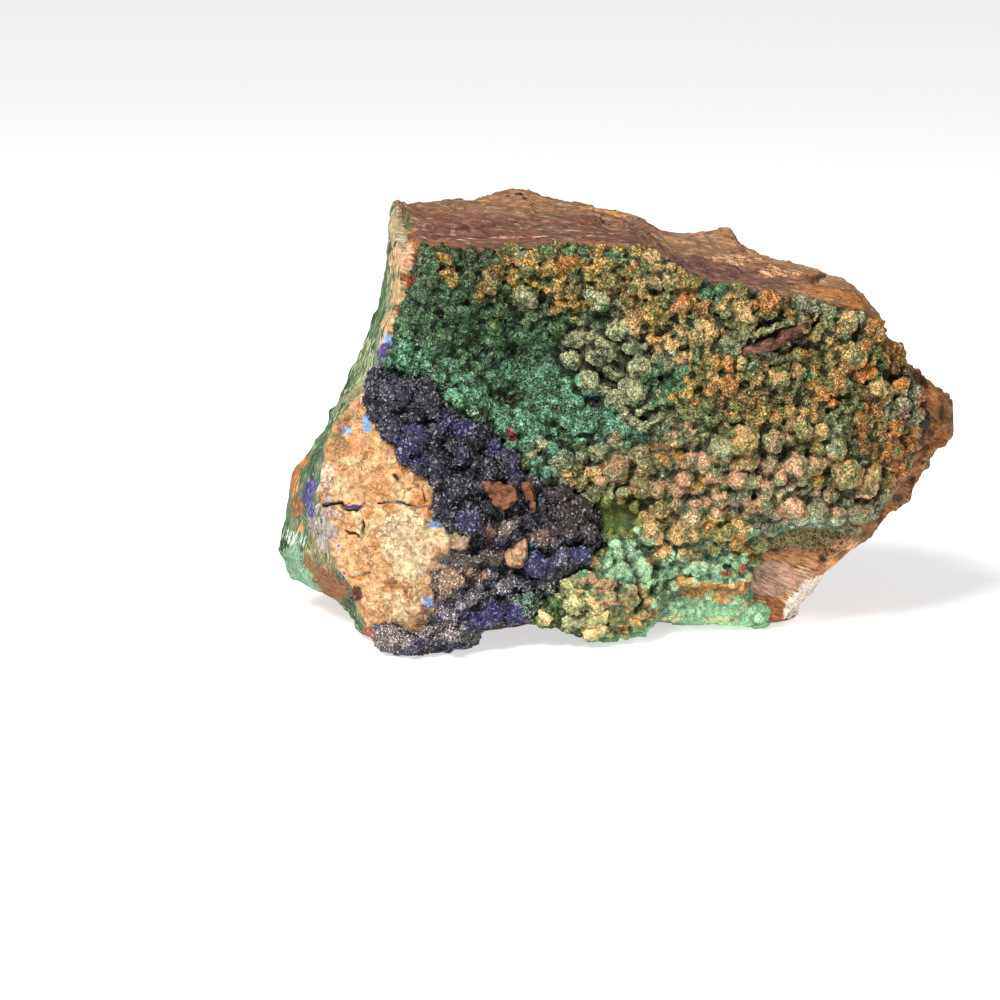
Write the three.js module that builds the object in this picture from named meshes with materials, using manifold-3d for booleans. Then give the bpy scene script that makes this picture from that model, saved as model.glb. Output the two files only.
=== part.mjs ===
// A malachite druse: a broken piece of brown gossan whose front is a hollow lined with
// malachite balls, with a dark azurite druse round a bare peach-coloured knob at the lower left.
//
// Millimetres, +Z up, +X to the right of the druse face, +Y into the rock.
// The origin is under the middle of the piece, on the surface that it rests on.

import * as THREE from 'three';
import { mergeVertices } from 'three/addons/utils/BufferGeometryUtils.js';
import Module from 'manifold-3d';

const wasm = await Module();
wasm.setup();

// ---------------------------------------------------------------- driving sizes

const CLEARANCE = 0.4; // left between the rock and each crust
const SEAM = 0.3; // left between the two crusts, and under a crust at the floor
const MALACHITE_BED = 1.5; // the sheet that the malachite balls grow from
const AZURITE_BED = 1.7; // the sheet that the azurite crystals grow from
const BALL_SPACING = 4.4; // between the small balls that fill the gaps
const SMALL_BALL_RADIUS = 2.0; // of an average small ball
const BALL_SWELL = 1.12; // a facetted ball against the round one that it stands for
const CRYSTAL_SPACING = 3.9; // between azurite crystals
const CRYSTAL_RADIUS = 2.3; // of an average azurite crystal
const MIDDLE = { x: -0.48, y: 4.83 }; // of the whole piece, while it is being made
const ROCK_TOLERANCE = 0.08; // a facet of the rock smaller than this merges with its neighbour
const CRUST_TOLERANCE = 0.3; // the same for the crusts
const CUT_WIDTH = 300; // of the blocks that make the flat cuts
const CORNER_PULL = 0.03; // how far two corners that meet at a point are drawn apart

// Every outline turns about this line, which runs along Y.
const AXIS = { x: -3, z: 32 };
const SPOKES = 66; // points round a ring
const CENTRE_DEPTH = -5; // Y of the druse face on the axis
const REAR_DEPTH = 32; // Y of the broken back
const REAR_SCALE = 0.87; // the back outline against the widest one

// The druse face leans back by this angle. Places on it are given as [across, up] in its plane.
const FACE_LEAN = THREE.MathUtils.degToRad(12);
const ACROSS = new THREE.Vector3(1, 0, 0);
const UP_FACE = new THREE.Vector3(0, Math.sin(FACE_LEAN), Math.cos(FACE_LEAN));
const INTO_FACE = new THREE.Vector3(0, Math.cos(FACE_LEAN), -Math.sin(FACE_LEAN));
const OUTSIDE = -80; // depth, along INTO_FACE, of a plane in front of the whole piece
const INSIDE = 6; // depth of a plane behind every crust and in front of the back

// ---------------------------------------------------------------- the rock's outlines

// Edge of the druse face, clockwise from its top left corner, as [x, y, z].
const RIM = [
  [-35.5, -5, 67], [-27, -5, 65.5], [-20, -5, 65], [-11.5, -5, 66.5], [-3, -5, 66.3], [4.5, -5, 65.5],
  [8, -5, 63.5], [13, -5, 60], [18, -5, 58.5], [29.5, -5, 57], [36, -3, 55.5], [40.5, -1, 54.5],
  [43.5, 0, 50], [46, 1, 45.5], [50, 2, 40.5], [52, 2.5, 36], [49.5, 2, 31], [47, 1, 26],
  [43, 0, 21], [40, -1.5, 16], [36, -2.5, 12], [31.5, -2, 6], [28, 0, 1.2],
  [20.5, -2.4, 0.4], [14, -3, 1], [7, -4, 2], [3, -8, 1], [-3.5, -9.5, 0.4], [-8, -11, 1.6],
  [-13, -13, 3.6], [-18, -14, 4.2], [-23, -15, 3.6], [-27, -16.5, 3], [-29.5, -18, 0.6],
  [-35, -18.5, 0.3], [-39, -18.5, 1], [-42, -18.5, 4], [-45.5, -18, 12], [-48, -17, 18],
  [-49.5, -16, 25.5], [-48.5, -15, 31], [-47, -13, 36.5], [-44, -11, 41], [-41, -9, 44.5],
  [-39, -7, 49.5], [-37.5, -6, 53.5], [-36.5, -5, 59],
];

// The widest outline: the back edge of the top, the middle of the left side, the right tip.
const GIRTH = [
  [-37, 30, 68.8], [-33.5, 30, 67.4], [-28, 30, 68.2], [-22, 31, 68.2], [-17.5, 31, 70.6],
  [-12, 31, 68.5], [-5.5, 31, 67], [0.5, 31, 65.6], [5, 30, 64], [8.5, 29, 61.8], [14.5, 29, 63],
  [19.5, 29, 63.8], [20.6, 28, 61], [26, 27, 59], [32, 25, 57], [38, 23, 55.5], [42.5, 19, 52.5],
  [45, 17, 49.5], [46.5, 15, 46], [49.3, 14, 44.3], [50.3, 13, 41], [53, 12, 39], [57.6, 10, 35.2],
  [57.5, 10, 33], [55.5, 10, 30.5], [51.5, 10, 23.5], [50.5, 10, 21], [47.5, 11, 19],
  [43.5, 11, 12.8], [39, 11, 9.8], [36, 10, 5], [32, 9, -0.5], [26, 8, -3], [4, 7, -4],
  [-24, 7, -4], [-42.5, 8, -3.5], [-46, 10, 1], [-52, 12, 3.5], [-55.5, 14, 6], [-57.6, 15, 9],
  [-57.6, 15, 12], [-55.8, 15, 18], [-55.6, 16, 22.5], [-51.5, 16, 27], [-49, 16, 31],
  [-46, 17, 39.5], [-42.5, 18, 47.5], [-40, 20, 53], [-38.5, 23, 59], [-37.5, 27, 64.5],
];

// Where the druse face swells out (depth < 0) or is hollowed (depth > 0).
// [x, z] is the middle, reach the half-sizes along and across, turn the slope in degrees.
const SWELLS = [
  { name: 'hollow', x: -10, z: 43, reach: [18, 13], turn: -10, depth: 6.5 },
  { name: 'right bulge', x: 24, z: 37, reach: [18, 14], turn: 0, depth: -3.5 },
  { name: 'azurite ridge', x: -24, z: 28, reach: [21, 7.5], turn: -41, depth: -5.5 },
  { name: 'peach knob', x: -36, z: 17, reach: [12, 15], turn: 15, depth: -9 },
  { name: 'ball cluster', x: -3, z: 6, reach: [8, 6], turn: 0, depth: -3 },
  { name: 'lower recess', x: 13, z: 9, reach: [10, 6], turn: 0, depth: 2 },
];

// ---------------------------------------------------------------- the crusts' outlines

// Edge of the malachite on the druse face, as [across, up].
const MALACHITE_ZONE = [
  [-35, 63.6], [-27, 62.6], [-19.5, 62], [-11.5, 63.2], [-3.5, 63], [4.5, 62.5], [8, 60.5],
  [13, 57.5], [23.5, 55], [35.5, 53.3], [39.8, 52], [42.8, 48.6], [45.4, 44], [49.2, 39.6], [50, 35],
  [48, 29], [43.5, 21.5], [41, 16.8], [38, 15.8], [30, 15.5], [24.5, 14], [22.5, 9], [22, 5],
  [25, 3], [25.5, 0], [13.5, 0], [6, 0.6], [3.5, -0.8], [-4, -1.4], [-10.5, 0.5], [-15.5, 1],
  [-12.5, 5], [-7.5, 10], [-3, 14], [-3.5, 20], [-8, 23.5], [-13, 26.5], [-16.5, 30], [-23, 33],
  [-27, 38], [-31, 41.5], [-36, 43], [-39, 42.8], [-38.4, 47], [-36.8, 51], [-35.6, 56], [-35, 60.5],
];

// Edge of the azurite: a ridge that runs down to the right and wraps under the knob.
const AZURITE_ZONE = [
  [-40.5, 43.2], [-36, 43], [-31, 41.5], [-27, 38], [-23, 33], [-16.5, 30], [-13, 26.5],
  [-8, 23.5], [-3.5, 20], [-3, 14], [-7.5, 10], [-12.5, 5], [-15.5, 1], [-22, 0], [-25, -2.2],
  [-28, -4.5], [-35, -4.5], [-41.5, -3], [-40, 1], [-34, -0.5], [-29, 1], [-26, 5], [-20, 9],
  [-15.5, 12], [-19, 14.5], [-27, 15], [-30, 18.5], [-30.5, 25], [-35.5, 28.5], [-39.5, 34],
  [-41.5, 38],
];

// The larger malachite balls, patch by patch, as [across, up, radius].
const BALLS = {
  upperLeft: [
    [-24.5, 57.5, 2], [-21, 57, 2], [-19.5, 53.5, 2.1], [-20.5, 50.5, 1.8], [-15.5, 55, 2.2],
    [-12.5, 53.5, 1.7], [-10, 50.5, 2], [-12, 63, 1.7], [-15, 60, 2], [-11.5, 60, 1.7], [-8, 56.3, 2.1],
  ],
  grey: [
    [-3.5, 54.5, 2.2], [-7.5, 48.5, 2], [-0.7, 50.2, 2.1], [-2.3, 46.6, 2], [-8, 45, 2],
    [0.5, 45.6, 2.4], [-5, 41, 2.5], [3.5, 43.6, 2.5], [2.6, 39.6, 2.8], [-0.8, 38, 2.3],
    [-9.5, 28, 2.2], [-6.5, 30.2, 1.7], [-3.4, 29.4, 2], [16.5, 29.8, 2.1], [35.5, 30, 1.7],
    [32.5, 19.6, 1.9],
  ],
  upperMiddle: [
    [-4.5, 59, 1.9], [-1.8, 57.4, 2.3], [1, 54.3, 2.1], [5, 60.5, 1.9], [5.5, 57.2, 1.7],
    [5.2, 52.5, 2.5], [2, 50.8, 1.8], [11.7, 57.2, 2], [10, 53.6, 1.8], [14, 53.6, 2], [13.5, 49, 2.8],
    [16.8, 51.4, 2.3], [20.4, 51, 2.4], [19.4, 55.2, 2.1], [24, 53.3, 2.6],
  ],
  right: [
    [29.5, 53.2, 2], [32, 49, 1.7], [37, 50.8, 2.1], [34, 47, 1.7], [41.6, 49.4, 2.5],
    [45.4, 45.4, 2.5], [38, 45.4, 2.6], [30.6, 45, 1.9], [42.4, 40.2, 2], [35.5, 40.6, 2],
    [46.6, 40.4, 1.8], [22, 42, 2], [25.6, 41.4, 2.1], [13, 41.4, 2], [11.2, 38.8, 1.7],
    [15.6, 38, 1.8], [19.8, 38, 2.4], [23.4, 38.4, 1.7], [19, 35.2, 1.7], [22.6, 36, 2],
    [28, 36.4, 1.7], [39.5, 35.2, 1.8], [42.6, 37, 1.7], [45, 29.8, 2], [30, 33, 2], [32.6, 30, 1.7],
    [40, 30.6, 1.8],
  ],
  middle: [
    [-0.5, 27.2, 2.4], [4.6, 26.6, 1.8], [-4.4, 26.2, 1.7], [13.6, 27.8, 1.9], [4, 23.8, 2],
    [7.2, 23, 1.7], [9.4, 21.6, 1.8], [20, 31, 2.6], [21, 28, 2], [25.2, 31.4, 2], [24.4, 27.6, 1.7],
    [28.6, 27.4, 2.1], [32, 27.4, 1.7], [19.4, 24.8, 1.7], [24.2, 21.8, 1.7], [12.2, 19.6, 2],
    [28.4, 20.4, 2.3], [39.8, 19.6, 2], [37.4, 26, 2.6], [41.2, 25.4, 2.2], [6.6, 20.4, 2],
    [5, 16.8, 2.4], [11.6, 16.6, 2.2], [17.2, 16.8, 2.2], [20.4, 16.8, 1.9], [7, 13, 2.1],
  ],
  lower: [
    [-7.4, 4.6, 2.1], [-4.4, 4.8, 1.8], [-8, 1.6, 1.7], [-2, 7.6, 1.7], [1.4, 5.6, 2.2],
    [3.6, 3.2, 1.7], [-0.6, 2.2, 1.8], [3.6, 10.4, 2.1], [0.8, 9.2, 2], [13.6, 10.4, 2],
    [16.4, 9.4, 1.9],
  ],
};

// Brown chips and one peach lump that stand out of the azurite: [across, up], size, slope.
const CHIPS = [
  { at: [-19.3, 22.2], size: [5.6, 7, 4], turn: 12 },
  { at: [-15.2, 20.8], size: [1.9, 6.5, 4.2], turn: -22 },
  { at: [-14.2, 14.4], size: [3.6, 6, 4.6], turn: 30 },
];
// A thin brown wall of gossan that runs through the malachite.
const SEPTUM = { at: [24.8, 47], size: [11.5, 10, 1.2], turn: 17 };
// Two parallel blades of malachite.
const BLADES = [
  { at: [6.3, 37.8], size: [8.4, 8.5, 0.9], turn: 30 },
  { at: [7.6, 35.6], size: [8.4, 8, 0.9], turn: 28 },
];
// Open pits in the top, near its back edge, as [x, y, z, radius].
const PITS = [
  [-19, 27.5, 70, 1.5], [-15.4, 28.2, 70, 1.7], [-12, 24, 68.8, 1.2], [-26, 20, 68.4, 1.3],
  [15, 26, 62.6, 1.5], [30, 18, 57.4, 1.3],
];

// Plates that a bedding plane left standing on the top: [x, y] outline, top at its middle, slope.
const LEDGES = [
  { outline: [[-35, 9], [-27, 5], [-17, 9], [-8, 7], [-2, 14], [-5, 23], [-15, 28], [-29, 27], [-35, 22]],
    top: 67.7, slope: 1 },
  { outline: [[-24, 16], [-16, 13], [-9, 17], [-12, 26], [-20, 29], [-27, 24]], top: 68.5, slope: 1 },
  { outline: [[13, 13], [23, 9], [33, 12], [36, 19], [28, 24], [17, 27]], top: 59.7, slope: 13 },
];
const LEDGE_THICKNESS = 3;
// Flat faces where the back broke away, each as a point on the face and the way it looks out.
const FRACTURES = [
  { at: [-10, 31.8, 66], out: [0.03, 0.985, -0.17] },
  { at: [12, 31.2, 50], out: [0.25, 0.96, -0.05] },
  { at: [42, 25, 40], out: [0.62, 0.78, -0.05] },
  { at: [-45, 26, 35], out: [-0.66, 0.75, 0.05] },
  { at: [0, 22, 3], out: [0.1, 0.7, -0.7] },
];

// ---------------------------------------------------------------- small helpers

// A fixed pseudo-random number from 0 to 1 for each n.
function chance(n) {
  const value = Math.sin(n * 12.9898 + 78.233) * 43758.5453;
  return value - Math.floor(value);
}

// A pseudo-random number from -1 to 1.
function swing(n) {
  return 2 * chance(n) - 1;
}

function facePoint(across, up, depth) {
  return new THREE.Vector3()
    .addScaledVector(ACROSS, across)
    .addScaledVector(UP_FACE, up)
    .addScaledVector(INTO_FACE, depth);
}

// A closed three.js geometry as a solid that can be joined and cut.
function solidOf(geometry) {
  const bare = geometry.clone();
  bare.deleteAttribute('normal');
  bare.deleteAttribute('uv');
  const merged = mergeVertices(bare, 1e-4);
  return new wasm.Manifold(new wasm.Mesh({
    numProp: 3,
    vertProperties: new Float32Array(merged.attributes.position.array),
    triVerts: new Uint32Array(merged.index.array),
  }));
}

// Where two corners of one body touch at a point, each is pulled a little way into its own side.
function drawCornersApart(geometry) {
  const { position, normal } = geometry.attributes;
  const place = (i) => [position.getX(i), position.getY(i), position.getZ(i)];
  const key = (i) => place(i).map((value) => value.toFixed(3)).join();
  const cornersAt = new Map();
  for (let i = 0; i < position.count; i += 1) {
    cornersAt.set(key(i), [...(cornersAt.get(key(i)) ?? []), i]);
  }
  [...cornersAt.values()].filter((corners) => corners.length > 1).flat().forEach((i) => {
    const moved = new THREE.Vector3(...place(i))
      .addScaledVector(new THREE.Vector3().fromBufferAttribute(normal, i), -CORNER_PULL);
    position.setXYZ(i, ...moved.toArray());
  });
}

function meshOf(name, solid, material) {
  const { vertProperties, triVerts } = solid.getMesh();
  const geometry = new THREE.BufferGeometry();
  geometry.setAttribute('position', new THREE.BufferAttribute(vertProperties, 3));
  geometry.setIndex(new THREE.BufferAttribute(triVerts, 1));
  geometry.computeVertexNormals();
  drawCornersApart(geometry);
  const mesh = new THREE.Mesh(geometry, new THREE.MeshStandardMaterial(material));
  mesh.name = name;
  return mesh;
}

// The one body that matters: crumbs that a cut leaves loose, and closed voids, are dropped.
function mainBody(solid) {
  return solid.decompose().reduce((a, b) => (a.volume() > b.volume() ? a : b));
}

function withoutSlivers(solid, tolerance) {
  return mainBody(solid.asOriginal().simplify(tolerance));
}

function inside(zone, across, up) {
  let within = false;
  zone.forEach(([ax, ay], i) => {
    const [bx, by] = zone[(i + 1) % zone.length];
    if (ay > up !== by > up && across < ax + ((up - ay) * (bx - ax)) / (by - ay)) within = !within;
  });
  return within;
}

// ---------------------------------------------------------------- the rock

// The point where a ray from the axis, at this angle, crosses an outline.
function crossing(outline, angle) {
  const ray = [Math.cos(angle), Math.sin(angle)];
  const side = (p) => ray[0] * (p[2] - AXIS.z) - ray[1] * (p[0] - AXIS.x);
  let found = null;
  let farthest = 0;
  outline.forEach((a, i) => {
    const b = outline[(i + 1) % outline.length];
    if (side(a) > 0 === side(b) > 0) return;
    const t = side(a) / (side(a) - side(b));
    const point = new THREE.Vector3(...a).lerp(new THREE.Vector3(...b), t);
    const reach = ray[0] * (point.x - AXIS.x) + ray[1] * (point.z - AXIS.z);
    if (reach > farthest) {
      farthest = reach;
      found = point;
    }
  });
  return found;
}

function swellDepth(x, z) {
  return SWELLS.reduce((sum, swell) => {
    const turn = THREE.MathUtils.degToRad(swell.turn);
    const dx = x - swell.x;
    const dz = z - swell.z;
    const along = (dx * Math.cos(turn) + dz * Math.sin(turn)) / swell.reach[0];
    const across = (dz * Math.cos(turn) - dx * Math.sin(turn)) / swell.reach[1];
    const far = along * along + across * across;
    return sum + swell.depth * Math.exp(-far * far * 0.7);
  }, 0);
}

// A ring of the druse face: k is 0 on the axis and 1 at the rim.
function faceRing(angle, k) {
  const rim = crossing(RIM, angle);
  const x = AXIS.x + (rim.x - AXIS.x) * k;
  const z = AXIS.z + (rim.z - AXIS.z) * k;
  const level = THREE.MathUtils.lerp(CENTRE_DEPTH, rim.y, k * k);
  return new THREE.Vector3(x, level + swellDepth(x, z) * (1 - k ** 8), z);
}

// A ring of the broken sides, from the rim (k = 0) to the widest outline (k = 1).
function sideRing(angle, k) {
  return crossing(RIM, angle).lerp(crossing(GIRTH, angle), k);
}

// A ring of the back, from the widest outline (k = 0) to the back outline (k = 1).
function backRing(angle, k) {
  const girth = crossing(GIRTH, angle);
  const rear = new THREE.Vector3(
    AXIS.x + (girth.x - AXIS.x) * REAR_SCALE,
    REAR_DEPTH,
    AXIS.z + (girth.z - AXIS.z) * REAR_SCALE,
  );
  return girth.lerp(rear, k);
}

// A ring of the flat of the back: k is 1 at its edge and 0 on the axis.
function rearRing(angle, k) {
  const edge = backRing(angle, 1);
  return new THREE.Vector3(
    AXIS.x + (edge.x - AXIS.x) * k,
    REAR_DEPTH,
    AXIS.z + (edge.z - AXIS.z) * k,
  );
}

// The rings from the middle of the face to the middle of the back.
// Rough is how far a broken surface strays from its smooth form.
const RINGS = [
  ...[0.22, 0.44, 0.63, 0.8].map((k) => ({ ring: faceRing, k, rough: 0.35 })),
  { ring: faceRing, k: 0.95, rough: 0.2 },
  { ring: sideRing, k: 0, rough: 0.2 },
  ...[0.2, 0.45, 0.7].map((k) => ({ ring: sideRing, k, rough: 0.75 })),
  { ring: sideRing, k: 1, rough: 0.1 },
  { ring: backRing, k: 0.5, rough: 0.6 },
  { ring: backRing, k: 1, rough: 0.5 },
  { ring: rearRing, k: 0.5, rough: 0.3 },
];

function roughRockGeometry() {
  const points = [new THREE.Vector3(AXIS.x, CENTRE_DEPTH + swellDepth(AXIS.x, AXIS.z), AXIS.z)];
  RINGS.forEach(({ ring, k, rough }, row) => {
    for (let spoke = 0; spoke < SPOKES; spoke += 1) {
      const point = ring((-2 * Math.PI * spoke) / SPOKES, k);
      const seed = row * SPOKES + spoke;
      point.x += rough * swing(seed);
      point.y += rough * swing(seed + 5000);
      point.z += rough * swing(seed + 9000);
      points.push(point);
    }
  });
  points.push(new THREE.Vector3(AXIS.x, REAR_DEPTH, AXIS.z));

  const faces = [];
  const at = (row, spoke) => 1 + row * SPOKES + (spoke % SPOKES);
  for (let spoke = 0; spoke < SPOKES; spoke += 1) {
    faces.push(0, at(0, spoke + 1), at(0, spoke));
    for (let row = 0; row + 1 < RINGS.length; row += 1) {
      faces.push(at(row, spoke), at(row, spoke + 1), at(row + 1, spoke));
      faces.push(at(row, spoke + 1), at(row + 1, spoke + 1), at(row + 1, spoke));
    }
    faces.push(at(RINGS.length - 1, spoke), at(RINGS.length - 1, spoke + 1), points.length - 1);
  }
  const geometry = new THREE.BufferGeometry().setFromPoints(points);
  geometry.setIndex(faces);
  return geometry;
}

// The rough rock with its whole surface moved outwards.
function grownRock(outwards) {
  const geometry = roughRockGeometry();
  geometry.computeVertexNormals();
  const { position, normal } = geometry.attributes;
  for (let i = 0; i < position.count; i += 1) {
    position.setXYZ(
      i,
      position.getX(i) + outwards * normal.getX(i),
      position.getY(i) + outwards * normal.getY(i),
      position.getZ(i) + outwards * normal.getZ(i),
    );
  }
  return solidOf(geometry);
}

const bareRock = new THREE.Mesh(roughRockGeometry());
bareRock.geometry.computeVertexNormals();
bareRock.updateMatrixWorld();

// Where something dropped straight onto the druse face at [across, up] lands on the rock.
function landing(across, up) {
  const ray = new THREE.Raycaster(facePoint(across, up, OUTSIDE), INTO_FACE);
  const hit = ray.intersectObject(bareRock)[0];
  return hit && { point: hit.point, out: hit.face.normal.clone() };
}

// A slab that stands out of the face: size is [length, how far in and out, thickness].
function standingSlab({ at, size, turn }, extra = 0) {
  const { point } = landing(...at);
  const slab = new THREE.BoxGeometry(size[0] + 2 * extra, size[1] + 2 * extra, size[2] + 2 * extra);
  slab.rotateY(THREE.MathUtils.degToRad(-turn));
  slab.rotateX(-FACE_LEAN);
  slab.translate(point.x, point.y, point.z);
  return solidOf(slab);
}

function outcrops(extra) {
  return [...CHIPS, SEPTUM].map((slab) => standingSlab(slab, extra));
}

// Everything on the outer side of a plane.
function blockBeyond([x, y, z], out) {
  const block = new THREE.BoxGeometry(CUT_WIDTH, CUT_WIDTH, CUT_WIDTH);
  block.translate(0, 0, CUT_WIDTH / 2);
  const outwards = new THREE.Vector3(...out).normalize();
  block.applyQuaternion(new THREE.Quaternion().setFromUnitVectors(new THREE.Vector3(0, 0, 1), outwards));
  block.translate(x, y, z);
  return solidOf(block);
}

function floorBlock(top) {
  return blockBeyond([0, 0, top], [0, 0, -1]);
}

function ledgeSolids() {
  return LEDGES.map(({ outline, top, slope }) => {
    const shape = new THREE.Shape(outline.map(([x, y]) => new THREE.Vector2(x, y)));
    const plate = new THREE.ExtrudeGeometry(shape, { depth: LEDGE_THICKNESS, bevelEnabled: false });
    plate.computeBoundingBox();
    const middle = plate.boundingBox.getCenter(new THREE.Vector3());
    plate.translate(-middle.x, 0, -LEDGE_THICKNESS);
    plate.rotateY(THREE.MathUtils.degToRad(slope));
    plate.translate(middle.x, 0, top);
    return solidOf(plate);
  });
}

function pitSolids() {
  return PITS.map(([x, y, z, radius]) => {
    const pit = new THREE.IcosahedronGeometry(radius, 0);
    pit.rotateX(x);
    pit.translate(x, y, z);
    return solidOf(pit);
  });
}

function matrixRock() {
  let rock = solidOf(bareRock.geometry);
  [...ledgeSolids(), ...outcrops(0)].forEach((piece) => { rock = rock.add(piece); });
  FRACTURES.forEach(({ at, out }) => { rock = rock.subtract(blockBeyond(at, out)); });
  pitSolids().forEach((pit) => { rock = rock.subtract(pit); });
  return withoutSlivers(rock.subtract(floorBlock(0)), ROCK_TOLERANCE);
}

// ---------------------------------------------------------------- the two crusts

// A prism over a zone of the druse face, from in front of the piece to inside the rock.
function zonePrism(zone) {
  const shape = new THREE.Shape(zone.map(([across, up]) => new THREE.Vector2(across, up)));
  const prism = new THREE.ExtrudeGeometry(shape, { depth: INSIDE - OUTSIDE, bevelEnabled: false });
  // The extrusion's X, Y and Z become across, up the face and out of the face.
  prism.applyMatrix4(new THREE.Matrix4().makeBasis(ACROSS, UP_FACE, INTO_FACE.clone().negate()));
  const start = INTO_FACE.clone().multiplyScalar(INSIDE);
  prism.translate(start.x, start.y, start.z);
  return solidOf(prism);
}

// The sheet of mineral of this thickness that lies on the rock inside a zone.
function bed(zone, thickness) {
  return grownRock(thickness).intersect(zonePrism(zone));
}

// Keeps a crust clear of the rock, of what stands out of it, and of the floor.
function seated(crust) {
  let clear = crust.subtract(grownRock(CLEARANCE));
  outcrops(CLEARANCE).forEach((piece) => { clear = clear.subtract(piece); });
  return withoutSlivers(clear.subtract(floorBlock(SEAM)), CRUST_TOLERANCE);
}

// A hexagonal grid of places inside a zone, each moved a little at random.
function scatter(zone, spacing) {
  const places = [];
  const bounds = new THREE.Box2().setFromPoints(zone.map(([a, u]) => new THREE.Vector2(a, u)));
  const rise = spacing * Math.sqrt(0.75);
  let seed = 0;
  for (let row = 0; bounds.min.y + row * rise < bounds.max.y; row += 1) {
    for (let column = 0; bounds.min.x + column * spacing < bounds.max.x; column += 1) {
      seed += 1;
      const across = bounds.min.x + (column + (row % 2) / 2 + 0.28 * swing(seed)) * spacing;
      const up = bounds.min.y + (row + 0.28 * swing(seed + 3000)) * rise;
      if (inside(zone, across, up) && landing(across, up)) places.push({ across, up, seed });
    }
  }
  return places;
}

// A low solid, turned at random, that sits on the rock with its middle this far above it.
function lump(Geometry, across, up, radius, lift, seed) {
  const { point, out } = landing(across, up);
  const geometry = new Geometry(radius, 0);
  geometry.rotateX(6 * chance(seed));
  geometry.rotateZ(6 * chance(seed + 40));
  const middle = point.addScaledVector(out, lift);
  geometry.translate(middle.x, middle.y, middle.z);
  return solidOf(geometry);
}

function malachiteCrust(azuriteZonePrism) {
  let crust = bed(MALACHITE_ZONE, MALACHITE_BED);
  const balls = Object.values(BALLS).flat();
  const isFree = ({ across, up }) => balls.every(
    ([a, u, radius]) => Math.hypot(a - across, u - up) > radius + 1.5,
  );
  balls.forEach(([across, up, radius], i) => {
    const lift = MALACHITE_BED + 0.25 * radius;
    crust = crust.add(lump(THREE.IcosahedronGeometry, across, up, BALL_SWELL * radius, lift, i));
  });
  scatter(MALACHITE_ZONE, BALL_SPACING).filter(isFree).forEach(({ across, up, seed }) => {
    const radius = SMALL_BALL_RADIUS * (0.8 + 0.4 * chance(seed + 700));
    crust = crust.add(lump(THREE.OctahedronGeometry, across, up, radius, MALACHITE_BED, seed));
  });
  BLADES.forEach((blade) => { crust = crust.add(standingSlab(blade)); });
  for (const [across, up] of [[SEAM, 0], [-SEAM, 0], [0, SEAM], [0, -SEAM]]) {
    crust = crust.subtract(azuriteZonePrism.translate(facePoint(across, up, 0).toArray()));
  }
  return seated(crust);
}

function azuriteCrust(azuriteZonePrism) {
  let crust = bed(AZURITE_ZONE, AZURITE_BED);
  scatter(AZURITE_ZONE, CRYSTAL_SPACING).forEach(({ across, up, seed }) => {
    const radius = CRYSTAL_RADIUS * (0.75 + 0.5 * chance(seed + 200));
    const lift = AZURITE_BED + 0.2 * radius;
    crust = crust.add(lump(THREE.OctahedronGeometry, across, up, radius, lift, seed));
  });
  return seated(crust.intersect(azuriteZonePrism));
}

// ---------------------------------------------------------------- the piece

const azuriteZonePrism = zonePrism(AZURITE_ZONE);
const druse = new THREE.Group();
const GOSSAN = { color: 0x9a6f52, roughness: 0.85, metalness: 0 };
const MALACHITE = { color: 0x5d8a6b, roughness: 0.6, metalness: 0 };
const AZURITE = { color: 0x2c2850, roughness: 0.45, metalness: 0 };
druse.add(
  meshOf('matrix_rock', matrixRock(), GOSSAN),
  meshOf('malachite_crust', malachiteCrust(azuriteZonePrism), MALACHITE),
  meshOf('azurite_crust', azuriteCrust(azuriteZonePrism), AZURITE),
);
druse.position.set(-MIDDLE.x, -MIDDLE.y, 0);

export default druse;
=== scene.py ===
# %% [markdown]
# # A malachite druse
# This piece is a broken lump of brown gossan, about 114 mm wide. Its front is a shallow hollow lined
# with round malachite balls, and a dark azurite druse runs round a bare peach-coloured knob.
# The script starts from the solid model, which stays as it is, and builds the fine surfaces over it.

# %% Load the solid model
import math

import bmesh
import bpy
import numpy as np
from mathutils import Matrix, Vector
from mathutils.bvhtree import BVHTree


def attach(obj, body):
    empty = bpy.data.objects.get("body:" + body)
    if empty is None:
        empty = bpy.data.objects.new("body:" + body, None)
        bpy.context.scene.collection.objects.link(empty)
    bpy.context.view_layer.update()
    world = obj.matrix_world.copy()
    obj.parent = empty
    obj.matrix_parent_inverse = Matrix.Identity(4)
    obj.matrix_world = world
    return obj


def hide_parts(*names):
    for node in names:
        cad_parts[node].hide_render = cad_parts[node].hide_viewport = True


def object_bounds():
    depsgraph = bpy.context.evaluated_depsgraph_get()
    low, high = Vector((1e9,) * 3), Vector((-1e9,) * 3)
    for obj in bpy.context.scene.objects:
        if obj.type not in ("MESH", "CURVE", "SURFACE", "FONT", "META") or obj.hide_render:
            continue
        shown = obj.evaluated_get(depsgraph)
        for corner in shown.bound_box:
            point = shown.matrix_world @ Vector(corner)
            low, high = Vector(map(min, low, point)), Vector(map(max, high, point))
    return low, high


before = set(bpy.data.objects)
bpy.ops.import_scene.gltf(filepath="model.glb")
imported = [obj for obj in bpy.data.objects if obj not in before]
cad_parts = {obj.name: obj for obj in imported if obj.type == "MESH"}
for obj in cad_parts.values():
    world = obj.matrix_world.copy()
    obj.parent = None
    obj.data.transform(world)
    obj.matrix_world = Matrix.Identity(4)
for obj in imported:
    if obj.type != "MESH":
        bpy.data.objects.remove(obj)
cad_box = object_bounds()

MM = 0.001
print("solid model, mm:", [[round(v / MM, 1) for v in corner] for corner in cad_box])

# %% [markdown]
# ## The plane of the druse face
# The druse face leans back by 12 degrees. It is much easier to say where a ball sits as so far
# across and so far up that face than in X, Y and Z, so every place below is [across, up] in
# millimetres, and two short functions turn such places into metres and back.

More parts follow.
